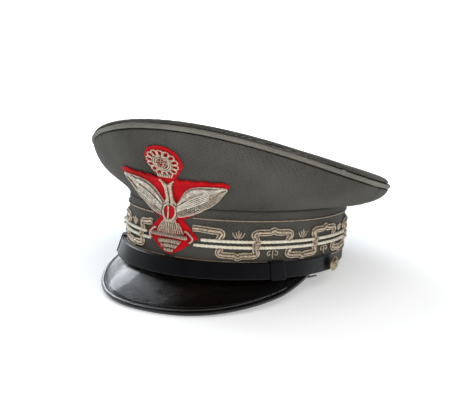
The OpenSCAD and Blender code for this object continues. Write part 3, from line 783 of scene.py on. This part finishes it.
print("meander")
meander = {"firstLeg": 35.5 * mm, "blocks": 9, "rise": 9.6 * mm, "fall": 8.7 * mm, "peak": 2.2 * mm,
           "middle": 23.35 * mm, "flare": 2.4 * mm, "row": 1.95 * mm}
pitch = (wayRound / 2 - meander["firstLeg"]) / (meander["blocks"] + 0.5)


def blockPath(i):
    # one block's line as (arc, height from the cords' middle), its legs running on to cross the cords
    upper = i % 2
    side = 1 if upper else -1
    far = meander["rise"] if upper else meander["fall"]
    half = pitch / 2
    wide = half + meander["flare"] * (1 if upper else 0.5)
    path = []
    for end in (-1, 1):
        # the cord this leg passes over, or under, depends on which end of the block it is
        over = (end < 0) == bool(upper)
        foot = [(end * (half - 0.6 * mm), -1.6 * mm if over else 2.6 * mm),
                (end * (half - 0.6 * mm), 4.4 * mm),
                (end * wide, far - 2.2 * mm), (end * (wide - 2.0 * mm), far)]
        path += foot if end < 0 else foot[::-1]
    spare = [(-5.5 * mm, far), (-2 * mm, far + 0.3 * mm), (0, far + meander["peak"]),
             (2 * mm, far + 0.3 * mm),
             (5.5 * mm, far)]
    path[4:4] = spare
    middleArc = meander["firstLeg"] + (i + 0.5) * pitch
    return [(middleArc + u, side * v) for u, v in path]


def meanderLift(v, radius):
    # the ribbon humps over whichever cord it covers
    hump = math.exp(-((abs(v) - 2.25 * mm) / (1.5 * mm)) ** 2) * smooth(3.6 * mm, 2.4 * mm, abs(v))
    return 0.25 * mm + radius + 2.3 * mm * hump


def addRibbon(bm, bends, step=0.62 * mm):
    line = roundPath(bends, step)
    for shift, radius, high, lobes, depth, twist in (
            (-meander["row"], 0.68 * mm, 0.65 * mm, 2, 0.22, 1.9 * mm),
            (0, 1.05 * mm, 1.15 * mm, 3, 0.28, 3.4 * mm),
            (meander["row"], 0.68 * mm, 0.65 * mm, 2, 0.22, 1.9 * mm)):
        row = [Vector((p.x, meander["middle"] + p.y, 0)) for p in offsetPath(line, shift)]
        ends = [meanderLift(p.y - meander["middle"], high) for p in row]
        addCord(bm, row, bandSpot, lambda t: ends[round(t * (len(ends) - 1))], radius, high, 7, lobes, twist,
                depth)


for upper, name in ((1, "meander_high"), (0, "meander_low")):
    bm = bmesh.new()
    for i in range(2 * meander["blocks"] + 1):
        if i % 2 == upper:
            addRibbon(bm, blockPath(i))
    if upper:
        leg = meander["firstLeg"] - 0.6 * mm
        far = meander["rise"]
        for side in (-1, 1):
            start = side * frontShift
            addRibbon(bm, [(side * u, v) for u, v in (
                (18 * mm + start, far + 0.8 * mm), (22 * mm + start, far + 1.2 * mm),
                (27 * mm, far + 0.4 * mm),
                (32 * mm, far),
                (leg + 0.6 * mm, far), (leg + 2.6 * mm, far - 2.2 * mm), (leg, 4.4 * mm), (leg, 2.6 * mm))])
    finishPiece(name, bm, [bullion], "cap", "silver_bullion", ["meander_embroidery"] if upper else [])

bm = bmesh.new()
for i in range(2 * meander["blocks"] + 1):
    middleArc = meander["firstLeg"] + (i + 0.5) * pitch
    for stalk in (((0, 0), (0.2, 3), (0, 6.6)), ((-0.4, 1.2), (-1.6, 4), (-2.2, 6.2)),
                  ((0.4, 1.2), (1.6, 4), (2.2, 6.2)),
                  ((-1, 0.8), (-3.4, 2.6), (-4.6, 5.2)),
                  ((1, 0.8), (3.4, 2.6), (4.6, 5.2))) if not i % 2 else (
                  ((0, 0), (0.1, 4), (0, 7.2)), ((-1.6, 1), (-4.6, 1.6), (-4.4, 4.6), (-2.2, 4.6), (-2.4, 3)),
                  ((1.6, 1), (4.6, 1.6), (4.4, 4.6), (2.2, 4.6), (2.4, 3))):
        side = 1 if not i % 2 else -1
        line = roundPath([(middleArc + u * mm,
                           meander["middle"] + side * (3.9 + v * 0.95) * mm) for u, v in stalk],
                         0.5 * mm)
        addCord(bm, line, bandSpot, 0.55 * mm, 0.5 * mm, 0.5 * mm, 6, 2, 1.5 * mm, 0.25)
    for u in (-4.6, 0, 4.6) if not i % 2 else (0,):
        knot = 5.2 if u else 6.8
        spot = (middleArc + u * mm, meander["middle"] + side * (3.9 + knot * 0.95) * mm)
        addStitch(bm, (spot[0] - 0.5 * mm, spot[1]), (spot[0] + 0.5 * mm, spot[1]), bandSpot, 0.4 * mm,
                  0.7 * mm,
                  0.5 * mm, 6)
finishPiece("sprigs", bm, [bullion], "cap", "silver_bullion", ["sprig_embroidery"])


# ---- winged badge ----

print("badge")
badge = {"lift": 1.65 * mm, "wingRise": 3.0 * mm}
feltOutline = [(1.5, 11.6), (10.5, 16), (22.2, 25.4), (23, 26.6), (13, 36.4), (10.5, 39.2), (24, 46.4),
               (34, 56.5),
               (39.3, 66), (43.4, 74), (43.6, 77.2), (41, 77.9), (24, 75), (8, 74), (6.8, 76), (9.5, 79),
               (13.2, 86),
               (13, 91), (9, 98), (2, 101.4)]
feltSpine = [11.6, 18, 26, 30, 38, 42, 52, 62, 66, 70, 72, 72.6, 74, 76, 78, 81, 86, 90, 97, 101.4]


def alongList(values, t):
    # value at t along a list of numbers or tuples
    k = t * (len(values) - 1)
    i = min(int(k), len(values) - 2)
    a, b = values[i], values[i + 1]
    if isinstance(a, tuple):
        return tuple(mix(p, q, k - i) for p, q in zip(a, b))
    return mix(a, b, k - i)


def feltPoint(s, t):
    u, v = alongList(feltOutline, t)
    across = 2 * s - 1
    v = mix(alongList(feltSpine, t), v, abs(across))
    bow = 0.35 * mm * noise.noise(Vector((u * across * 0.12, v * 0.12, 5)))
    return stand(frontPoint(u * across * mm, v * mm, 1.4 * mm + bow))


bm = bmesh.new()
addSheet(bm, 40, 76, feltPoint, (0.087, 0.09))
finishPiece("badge_backing", bm, [felt], "cap", "red_felt", ["badge_felt"], thick=1.0 * mm)

wingEdges = [((6, 52.5), (6.5, 41.2)), ((8.2, 56), (11, 42)), ((10.5, 60.5), (17.5, 44)),
             ((13.8, 65.6), (24.5, 47.4)),
             ((18, 68.9), (30, 51.6)), ((23, 70.8), (34, 56.2)), ((29, 72.2), (37.2, 61)),
             ((35, 73.2), (39.6, 66.6)),
             ((42, 74.4), (42.3, 73))]


def wingSpot(side, s, w):
    # s runs from the root to the tip, w from the leading edge to the trailing edge
    lead = alongList([edge[0] for edge in wingEdges], s)
    trail = alongList([edge[1] for edge in wingEdges], s)
    return side * mix(lead[0], trail[0], w) * mm, mix(lead[1], trail[1], w) * mm


def wingPad(s, w):
    across = max(0.0, math.sin(math.pi * (0.06 + 0.88 * w))) ** 0.5
    return badge["wingRise"] * across * (0.45 + 0.55 * smooth(1, 0.55, s))


def addWing(side):
    base, leading, feathers, purl = (bmesh.new() for _ in range(4))

    def padPoint(s, t):
        u, v = wingSpot(side, t, s)
        return stand(frontPoint(u, v, badge["lift"] + wingPad(t, s) - 0.5 * mm))

    addSheet(base, 14, 30, padPoint, (0.02, 0.04))

    def thread(bm, a, b, wide, arch, lift=0.0):
        pa, pb = wingSpot(side, *a), wingSpot(side, *b)
        middleLift = badge["lift"] + wingPad((a[0] + b[0]) / 2, (a[1] + b[1]) / 2) + lift
        addStitch(bm, pa, pb, frontPoint, middleLift - 0.3 * mm, wide, arch)

    # close satin stitches over the padded leading edge
    for i in range(44):
        s = 0.02 + 0.66 * i / 43
        thread(leading, (s, -0.02), (s + 0.035, 0.28), 0.42 * mm, 0.9 * mm)
    for i in range(16):
        s = 0.66 + 0.31 * i / 15
        thread(leading, (s - 0.05, 0.02), (s + 0.02, 0.55), 0.42 * mm, 0.5 * mm)
    # long feather cords from the root out to the tip
    for i in range(5):
        w = 0.31 + 0.075 * i
        line = []
        for k in range(40):
            s = mix(0.0, 0.74 - 0.02 * i, k / 39)
            line.append(Vector(wingSpot(side, s, w + 0.03 * math.sin(3 * s)) + (0,)))
        lifts = [badge["lift"] + wingPad(mix(0.0, 0.74, k / 39), w) + 0.1 * mm for k in range(40)]
        addCord(feathers, line, frontPoint, lambda t: lifts[round(t * 39)], 0.62 * mm, 0.6 * mm, 7, 2,
                1.5 * mm, 0.22)
    # rows of short checked purl towards the trailing edge
    for row in range(5):
        w = 0.66 + 0.072 * row
        for i in range(30):
            s = 0.03 + 0.93 * (i + 0.5 * (row % 2)) / 30
            if s < 0.95:
                thread(purl, (s - 0.008, w - 0.028), (s + 0.022, w + 0.034), 0.5 * mm, 0.7 * mm)
    # a corded edge all round
    rim = [wingSpot(side, s / 24, 0.0) for s in range(24)]
    rim += [wingSpot(side, 1 - s / 24, 1.0) for s in range(25)]
    line = spacePath([Vector(p + (0,)) for p in rim], 0.5 * mm)
    addCord(purl, line, frontPoint, badge["lift"] + 0.6 * mm, 0.6 * mm, 0.6 * mm, 7, 2, 1.4 * mm, 0.25)
    tag = "left" if side > 0 else "right"
    node = "badge_wing_" + tag
    finishPiece("wing_pad_" + tag, base, [bullion], "cap", "silver_bullion", [node])
    finishPiece("wing_satin_" + tag, leading, [paleThread], "cap", "silver_bullion")
    finishPiece("wing_feathers_" + tag, feathers, [paleThread], "cap", "silver_bullion")
    finishPiece("wing_purl_" + tag, purl, [brightBullion], "cap", "silver_bullion")


for side in (-1, 1):
    addWing(side)


def frontStitch(bm, a, b, lift, wide=0.5, arch=0.8):
    addStitch(bm, (a[0] * mm, a[1] * mm), (b[0] * mm, b[1] * mm), frontPoint, badge["lift"] + lift * mm,
              wide * mm,
              arch * mm)


def frontCord(bm, points, lift, radius, step=0.5, twist=1.6, close=False):
    line = roundPath([(u * mm, v * mm) for u, v in points], step * mm) if not close else \
        spacePath([Vector((u * mm, v * mm, 0)) for u, v in points], step * mm)
    addCord(bm, line, frontPoint, badge["lift"] + lift * mm, radius * mm, radius * mm, 7, 2, twist * mm, 0.24)


# the neck column and the skirt of long loops
bm = bmesh.new()
random.seed(4)
for i in range(34):
    v = 53 + 18 * i / 33
    half = 3.6 + 1.2 * smooth(58, 53, v) + 1.4 * smooth(67, 71, v)
    frontStitch(bm, (-half, v + 0.7), (0.3, v - 0.5), 1.2, 0.45, 1.5)
    frontStitch(bm, (half, v + 0.7), (-0.3, v - 0.5), 1.2, 0.45, 1.5)
for side in (-1, 1):
    frontCord(bm, [(0, 68), (side * 1.4, 70.5), (side * 4.4, 72.6), (side * 5.6, 74.4)], 1.6, 0.85)
    frontCord(bm, [(side * 3.4, 55), (side * 4.2, 52.8), (side * 6.2, 50.6)], 1.8, 0.8)
for row, (high, low, wide) in enumerate(((40, 32.5, 6.5), (36.5, 27.6, 11))):
    count = 9 + 4 * row
    for i in range(count):
        u = wide * (2 * i / (count - 1) - 1)
        lift = 2.6 - 0.9 * row - 0.8 * (u / wide) ** 2
        frontCord(bm, [(u * 0.6, high), (u * 0.9, (high + low) / 2), (u * 1.05, low)], lift, 0.55, 0.5, 1.4)
finishPiece("badge_column", bm, [bullion], "cap", "silver_bullion", ["badge_body"])

# the boss: a felt oval with a ring and a bar of purl
bm = bmesh.new()


def bossPoint(s, t):
    k, out = 2 * math.pi * s, t
    rise = 1.2 * mm + 2.4 * mm * math.sqrt(max(0.0, 1 - out * out))
    return stand(frontPoint(5 * mm * out * math.sin(k), 45 * mm + 6.6 * mm * out * math.cos(k),
                            badge["lift"] + rise))


addSheet(bm, 36, 10, bossPoint, (0.03, 0.006))
finishPiece("badge_boss", bm, [felt], "cap", "red_felt", ["badge_shield"])
bm = bmesh.new()
ring = [(5.4 * math.sin(k / 48 * 2 * math.pi), 45 + 7 * math.cos(k / 48 * 2 * math.pi)) for k in range(49)]
frontCord(bm, ring, 2.6, 0.8, close=True)
frontCord(bm, [(-0.3, 51), (0, 45), (-0.2, 39.2)], 4.0, 0.55)
for i in range(30):
    k = 2 * math.pi * i / 30
    frontStitch(bm, (6.2 * math.sin(k), 45 + 7.8 * math.cos(k)),
                (7.4 * math.sin(k + 0.1), 45 + 9.1 * math.cos(k + 0.1)),
                1.4, 0.5, 0.5)

# the couched bar with its hooked ends
for shift in (-0.75, 0.75):
    frontCord(bm, [(-17, 26.3 + shift), (-9, 26.1 + shift), (0, 26.4 + shift), (9, 26 + shift),
                   (15, 25.6 + shift)], 1.4, 0.8)
finishPiece("badge_ring", bm, [brightBullion], "cap", "silver_bullion")
bm = bmesh.new()
for i in range(24):
    u = -16 + 31 * i / 23
    frontStitch(bm, (u - 0.3, 27.9), (u + 0.3, 24.5), 1.5, 0.6, 1.3)
for side in (-1, 1):
    frontCord(bm, [(side * 12.5, 30.5), (side * 14, 31), (side * 17.5, 28), (side * 19.6, 25.6),
                   (side * 18.4, 23),
                   (side * 16.4, 22)], 1.2, 0.85)
finishPiece("badge_couching", bm, [roseThread], "cap", "bar_thread", ["badge_bar"])

# the tail: fanned loops that narrow to a point
bm = bmesh.new()
for row, (high, low) in enumerate(((24.2, 19.6), (20.6, 16.2), (17, 13))):
    wide = (9.6, 6.6, 3.4)[row]
    count = (13, 9, 5)[row]
    for i in range(count):
        u = wide * (2 * i / (count - 1) - 1)
        frontStitch(bm, (u * 1.02, high - 0.04 * u * u * 0.3), (u * 0.8, low - 0.04 * u * u * 0.2), 0.9, 0.6,
                    1.0)
        frontStitch(bm, (u * 1.02 + 0.7, high - 0.6), (u * 0.8 + 0.5, low), 0.7, 0.45, 0.8)
finishPiece("badge_fan", bm, [bullion], "cap", "silver_bullion", ["badge_tail"])

# the wreath: pairs of leaves round a ring, felt showing between
bm = bmesh.new()
for i in range(14):
    k = 2 * math.pi * i / 14
    for spread in (-0.34, 0.34):
        loop = [(mix(6.4, 11.3, t) * math.sin(k + spread * math.sin(math.pi * t)),
                 88 + mix(6.2, 11, t) * math.cos(k + spread * math.sin(math.pi * t)))
                for t in (0, 0.3, 0.7, 1)]
        frontCord(bm, loop, 1.0, 0.55, 0.5, 1.3)
for radius in (5.9, 4.6):
    ring = [(radius * math.sin(k / 40 * 2 * math.pi),
             88 + radius * math.cos(k / 40 * 2 * math.pi)) for k in range(41)]
    frontCord(bm, ring, 1.1, 0.6, close=True)
for i in range(34):
    k, r = 2.4 * i, 4.1 * math.sqrt(i / 34)
    a = (r * math.sin(k), 88 + r * math.cos(k))
    turn = random.uniform(0, math.pi)
    frontStitch(bm, a, (a[0] + 1.5 * math.cos(turn), a[1] + 1.5 * math.sin(turn)), 0.8, 0.5, 1.0)
for i in range(7):
    u = -6 + 2 * i
    frontStitch(bm, (u, 80.4), (u * 0.7, 75.8), 0.9, 0.7, 0.9)
finishPiece("badge_crown_wreath", bm, [bullion], "cap", "silver_bullion", ["badge_wreath"])


# ---- visor ----

print("visor")
visor = {"reach": 133.7 * mm, "drop": 26.5 * mm, "halfWidth": 87.6 * mm, "sideHeight": 4.15 * mm,
         "backY": 25 * mm, "end": math.radians(80), "binding": 2.1 * mm, "sink": 0.9 * mm}


def visorEdge(t):
    k = visor["end"] * t
    c = max(0.0, math.cos(k))
    p = Vector((visor["halfWidth"] * math.copysign(abs(math.sin(k)) ** 0.84, t) + frontShift * c,
                -visor["backY"] - (visor["reach"] - visor["backY"]) * c ** 1.05,
                visor["sideHeight"] - (visor["sideHeight"] + visor["drop"]) * c ** 0.73))
    w = (max(0.0, math.degrees(abs(k)) - 62) / 18) ** 2
    return p.lerp(bandPoint(math.copysign(math.radians(77), t), 3.2 * mm, -3.6 * mm), w)


def visorRoot(t):
    angle = math.radians(76) * t
    return bandPoint(angle, 0.3 * mm, -0.4 * mm - 3.2 * mm * math.sin(angle) ** 2)


def visorAt(t, r):
    root, edge = visorRoot(t), visorEdge(t)
    return root.lerp(edge, r) + Vector((0, 0, 0.17 * (edge - root).length * r * (1 - r)))


def visorNormal(t, r):
    h = 0.03
    return (visorAt(t + h, r) - visorAt(t - h, r)).cross(visorAt(t, r - h) - visorAt(t, r + h)).normalized()


def visorAlong(t):
    return (visorEdge(t + 0.02) - visorEdge(t - 0.02)).normalized()


def visorReach(t):
    return 1 - min(0.8, (visor["binding"] + 0.1 * mm) / (visorEdge(t) - visorRoot(t)).cross(visorAlong(t)).length)


def visorFace(s, t, depth):
    side = 2 * s - 1
    r = t * visorReach(side)
    wave = 0.35 * mm * noise.noise(visorAt(side, r) * 28) * smooth(0, 0.2, t)
    return stand(visorAt(side, r) - visorNormal(side, r) * (depth - wave))


bm = bmesh.new()
addSheet(bm, 150, 40, lambda s, t: visorFace(s, t, 0.1 * mm), (0.3, 0.07))
finishPiece("visor_top", bm, [patent], "cap", "patent_leather", ["visor_shell"], thick=1.0 * mm)
bm = bmesh.new()
addSheet(bm, 110, 24, lambda s, t: visorFace(s, t, 2.45 * mm), (0.3, 0.07))
finishPiece("visor_under", bm, [visorHide], "cap", "visor_underside", ["visor_lining"], thick=0.6 * mm)


def bindingPoint(s, t):
    side, k = 2 * t - 1, 2 * math.pi * s
    up = visorNormal(side, 0.97)
    out = visorAlong(side).cross(up)
    radius = visor["binding"] * (1 - 0.5 * smooth(0.95, 1, abs(side)))
    squeeze = 1 + 0.03 * noise.noise(visorEdge(side) * 200)
    return stand(visorEdge(side) - up * visor["sink"] + up * radius * 0.96 * math.sin(k)
                 + out * radius * squeeze * math.cos(k))


bm = bmesh.new()
addSheet(bm, 18, 220, bindingPoint, (0.013, 0.32))
finishPiece("visor_bound_edge", bm, [patent], "cap", "patent_leather", ["visor_binding"])
bm = bmesh.new()
for i in range(96):
    t = -0.9 + 1.8 * i / 95
    ends = [visorAt(k, 1 - 3.9 * mm / (visorEdge(k) - visorRoot(k)).length) for k in (t, t + 0.011)]
    up = visorNormal(t, 0.9)
    addFlatStitch(bm, stand(ends[0] + up * 0.05 * mm), stand(ends[1] + up * 0.05 * mm),
                  (stand(ends[0] + up) - stand(ends[0])).normalized(), 0.32 * mm, 0.3 * mm)
finishPiece("visor_stitches", bm, [ribbon], "cap", "patent_leather")


# ---- chin strap ----

print("strap")
strap = {"top": 9.3 * mm, "low": 2.6 * mm, "rise": 1.3 * mm, "off": 2.0 * mm, "flare": 5 * mm,
         "thick": 1.3 * mm,
         "gap": 0.25 * mm, "button": math.radians(84)}


def strapSpot(angle, h, d):
    # h from 0 at the lower edge to 1 at the upper, d outwards from the inner face
    rise = strap["rise"] * math.sin(angle) ** 2
    z = mix(-strap["low"], strap["top"], h) + rise
    flare = strap["flare"] * max(0.0, math.cos(angle)) ** 0.7 * (1 - h)
    return bandPoint(angle, z, strap["off"] + flare + d)


def strapSection(k, thick):
    # rounded bar with a shallow creased line near each edge; k goes once round
    k = k % 1
    face, h = (1, k / 0.44) if k < 0.44 else (0, 1 - (k - 0.5) / 0.44) if 0.5 <= k < 0.94 else (None, 0)
    if face is None:
        turn = (k - 0.44) / 0.06 if k < 0.5 else (k - 0.94) / 0.06
        depth = mix(0.9, 0.1, turn) if k < 0.5 else mix(0.1, 0.9, turn)
        bulge = 0.018 * math.sin(math.pi * turn)
        return (1 + bulge if k < 0.5 else -bulge), depth * thick
    groove = 0.16 * mm * sum(math.exp(-((h - c) / 0.022) ** 2) for c in (0.12, 0.88)) if face else 0
    edge = 0.1 * thick * (smooth(0.06, 0, h) + smooth(0.94, 1, h))
    return h, (thick * 1.0 - groove - edge if face else edge)


def addStrap(bm, start, end, depth, bulge):
    def place(s, t):
        angle = math.radians(mix(start, end, t))
        h, d = strapSection(s, strap["thick"])
        nearEnd = min(abs(math.degrees(angle) - start), abs(math.degrees(angle) - end)) * 1.6
        if nearEnd < 4.5:
            # round the tip
            h = 0.5 + (h - 0.5) * (0.55 + 0.45 * math.sqrt(max(0.0, 1 - (1 - nearEnd / 4.5) ** 2)))
        wave = bulge * noise.noise(Vector((angle * 3, 2.5, depth * 900)))
        return stand(strapSpot(angle, h, d + depth + wave))

    made = addSheet(bm, 50, 170, place, (0.03, 0.25))
    bmesh.ops.remove_doubles(bm, verts=made, dist=1e-7)
    # caps over both cut ends
    bmesh.ops.holes_fill(bm, edges=[edge for edge in bm.edges if edge.is_boundary], sides=0)


for name, node, start, end, depth in (("strap_half_left", "strap_left", -62, 87.4, 0),
                                      ("strap_half_right", "strap_right", -87.4, 54, 1.55 * mm)):
    bm = bmesh.new()
    addStrap(bm, start, end, depth, 0.12 * mm)
    finishPiece(name, bm, [strapHide], "chin_strap", "strap_leather", [node])


def addKeeper(bm, middleAngle):
    over = 2 * strap["thick"] + strap["gap"]

    def place(s, t):
        angle = math.radians(middleAngle + mix(-3.5, 3.5, t))
        grow = 0.88 * mm + 0.06 * mm * math.sin(math.pi * t)
        q = (s * 4) % 4
        corner = grow / (11.9 * mm)
        # the loop's outer face, top edge, inner face and bottom edge in turn, as (height, depth)
        walls = [(mix(-corner, 1 + corner, q), over + grow), (1 + corner, mix(over + grow, -grow, q - 1)),
                 (mix(1 + corner, -corner, q - 2), -grow), (-corner, mix(-grow, over + grow, q - 3))]
        return stand(strapSpot(angle, *walls[min(3, int(q))]))

    addSheet(bm, 64, 12, place, (0.04, 0.012))


for name, node, middleAngle in (("keeper_loop_left", "keeper_left", 50),
                                ("keeper_loop_right", "keeper_right", -58)):
    bm = bmesh.new()
    addKeeper(bm, middleAngle)
    loopPiece = finishPiece(name, bm, [strapHide], "chin_strap", "strap_leather", [node], weld=1e-7,
                            thick=0.65 * mm)
    soften = loopPiece.modifiers.new("soften", "BEVEL")
    soften.width, soften.segments, soften.limit_method = 0.35 * mm, 2, "ANGLE"

# ---- side buttons ----

print("buttons")
button = {"radius": 6.3 * mm, "seat": 6.2 * mm, "z": 4 * mm}
buttonProfile = [(0, 4.1), (0.22, 4.05), (0.4, 3.9), (0.58, 3.45), (0.68, 2.95), (0.74, 2.5), (0.78, 2.05),
                 (0.83, 1.9),
                 (0.9, 1.75), (0.96, 1.4), (1.0, 0.8), (0.97, 0.25), (0.9, 0.1), (0.82, 0.5)]
for side, body in ((1, "button_left"), (-1, "button_right")):
    def buttonPoint(s, t):
        k = 2 * math.pi * s
        share, up = alongList(buttonProfile, t)
        relief = 0.28 * mm * math.cos(8 * k) * smooth(0.1, 0.3, share) * smooth(0.72, 0.5, share)
        beads = 0.12 * mm * math.cos(36 * k) * smooth(0.82, 0.88, share) * smooth(0.98, 0.93, share)
        x = button["seat"] + up * mm + (relief + beads)
        spot = Vector((side * (band["halfWidth"] * math.sin(strap["button"]) + x),
                       -band["halfLength"] * math.cos(strap["button"]) + side * button["radius"] * share * math.cos(k),
                       button["z"] + button["radius"] * share * math.sin(k)))
        return stand(spot)

    bm = bmesh.new()
    addSheet(bm, 144, 40, buttonPoint, (0.04, 0.01))
    tag = "left" if side > 0 else "right"
    finishPiece("brass_button_" + tag, bm, [brass], body, "button_brass", ["button_cap_" + tag],
                thick=0.4 * mm)

# ---- inside ----

print("inside")


def sweatPoint(s, t):
    angle = 2 * math.pi * s
    d = -3.3 * mm - 0.5 * mm * smooth(0.2, 0, t) - 0.35 * mm * (1 + noise.noise(Vector((12 * s, 4 * t, 8))))
    return stand(bandPoint(angle, mix(0.8 * mm, 36 * mm, t), d))


bm = bmesh.new()
addSheet(bm, 300, 20, sweatPoint, (wayRound, 0.035))
finishPiece("sweat_leather_band", bm, [sweatHide], "cap", "sweat_leather", ["sweatband"], thick=0.9 * mm)
bm = bmesh.new()
for i in range(120):
    a, b = (2 * math.pi * (i + k) / 120 for k in (0, 0.55))
    inward = (bandPoint(a, 0, -mm) - bandPoint(a, 0, 0)).normalized()
    addFlatStitch(bm, stand(bandPoint(a, 33.6 * mm, -4.95 * mm)), stand(bandPoint(b, 33.6 * mm, -4.95 * mm)),
                  inward, 0.3 * mm, 0.28 * mm)
finishPiece("sweat_band_stitches", bm, [cotton], "cap", "sweat_leather")


def liningSpot(angle, t):
    # from the sweatband's back up the side and over to the middle of the top
    if t < 0.12:
        p = bandPoint(angle, mix(38 * mm, band["height"], t / 0.12), -5.3 * mm)
    elif t < 0.5:
        k = mix(0.05, 0.86, (t - 0.12) / 0.38)
        p = crownPoint(angle, k, -4.4 * mm)
        p.z = max(p.z, band["height"] + 2 * mm + 3 * mm * k)
    else:
        k = mix(0.9, 0.0, (t - 0.5) / 0.5)
        p = ovalPoint(crown["halfLength"] * k, crown["halfWidth"] * k, angle)
        p.z = rimHeightAt(p.x, p.y) + 2.0 * mm
    return p


def liningPoint(s, t):
    angle = 2 * math.pi * s
    p = liningSpot(angle, t)
    gather = 0.5 * mm * math.sin(angle * 46 + 3 * noise.noise(p * 25)) * smooth(0.62, 0.1, t)
    inwards = Vector((-math.sin(angle), math.cos(angle), 0)) * (0.5 * mm + abs(gather)) * smooth(0, 0.1, t)
    return stand(p + inwards * smooth(1, 0.6, t))


bm = bmesh.new()
addSheet(bm, 300, 60, liningPoint, (wayRound, 0.16))
finishPiece("gathered_lining", bm, [satin], "cap", "satin_lining", ["crown_lining"], thick=0.35 * mm,
            offset=0)


def shieldPoint(s, t):
    k = 2 * math.pi * s
    x = 22 * mm * t * math.sin(k)
    y = t * (22 * mm * math.cos(k) + math.copysign(26 * mm, math.cos(k)) * min(1, abs(math.cos(k)) * 6))
    return stand(Vector((x, y, crown["rimHeight"] - 2 * mm - crown["rimSlope"] * y
                         + 0.4 * mm * noise.noise(Vector((x * 40, y * 40, 1))))))


bm = bmesh.new()
addSheet(bm, 64, 12, shieldPoint, (0.1, 0.05))
finishPiece("sweat_shield", bm, [film], "cap", "shield_film", ["lining_shield"], thick=0.3 * mm)

bm = bmesh.new()
bowMiddle = bandPoint(math.pi, 26 * mm, -6.9 * mm)
for side in (-1, 1):
    def bowPoint(s, t):
        k = 2 * math.pi * s
        reach = side * mix(0.2 * mm, 9.4 * mm, math.sin(math.pi * t / 2))
        puff = 0.5 * mm + 1.6 * mm * math.sin(math.pi * min(1, t)) ** 0.7
        return stand(bowMiddle + Vector((reach, puff * 0.35 * math.cos(k), (1.0 + 2.0 * t) * mm * math.sin(k)
                                         * (1 - 0.4 * smooth(0.8, 1, t)))))

    addSheet(bm, 20, 14, bowPoint, (0.01, 0.01))
addSheet(bm, 14, 8, lambda s, t: stand(bowMiddle + Vector(((t - 0.5) * 3 * mm,
                                                           0.7 * mm * math.cos(2 * math.pi * s),
                                                          1.6 * mm * math.sin(2 * math.pi * s)))),
         (0.01, 0.003))
finishPiece("ribbon_bow", bm, [ribbon], "cap", "bow_ribbon", ["sweatband_bow"])

# CAD parts that stay get their finish here
kept = {"rim_hoop": wire, "front_stay": board, "band_stiffener": board, "visor_board": visorHide,
        "button_shank_left": brass, "button_shank_right": brass, "button_clip_left": wire,
        "button_clip_right": wire}
for node, material in kept.items():
    mesh = bpy.data.objects[node].data
    mesh.materials.clear()
    mesh.materials.append(material)
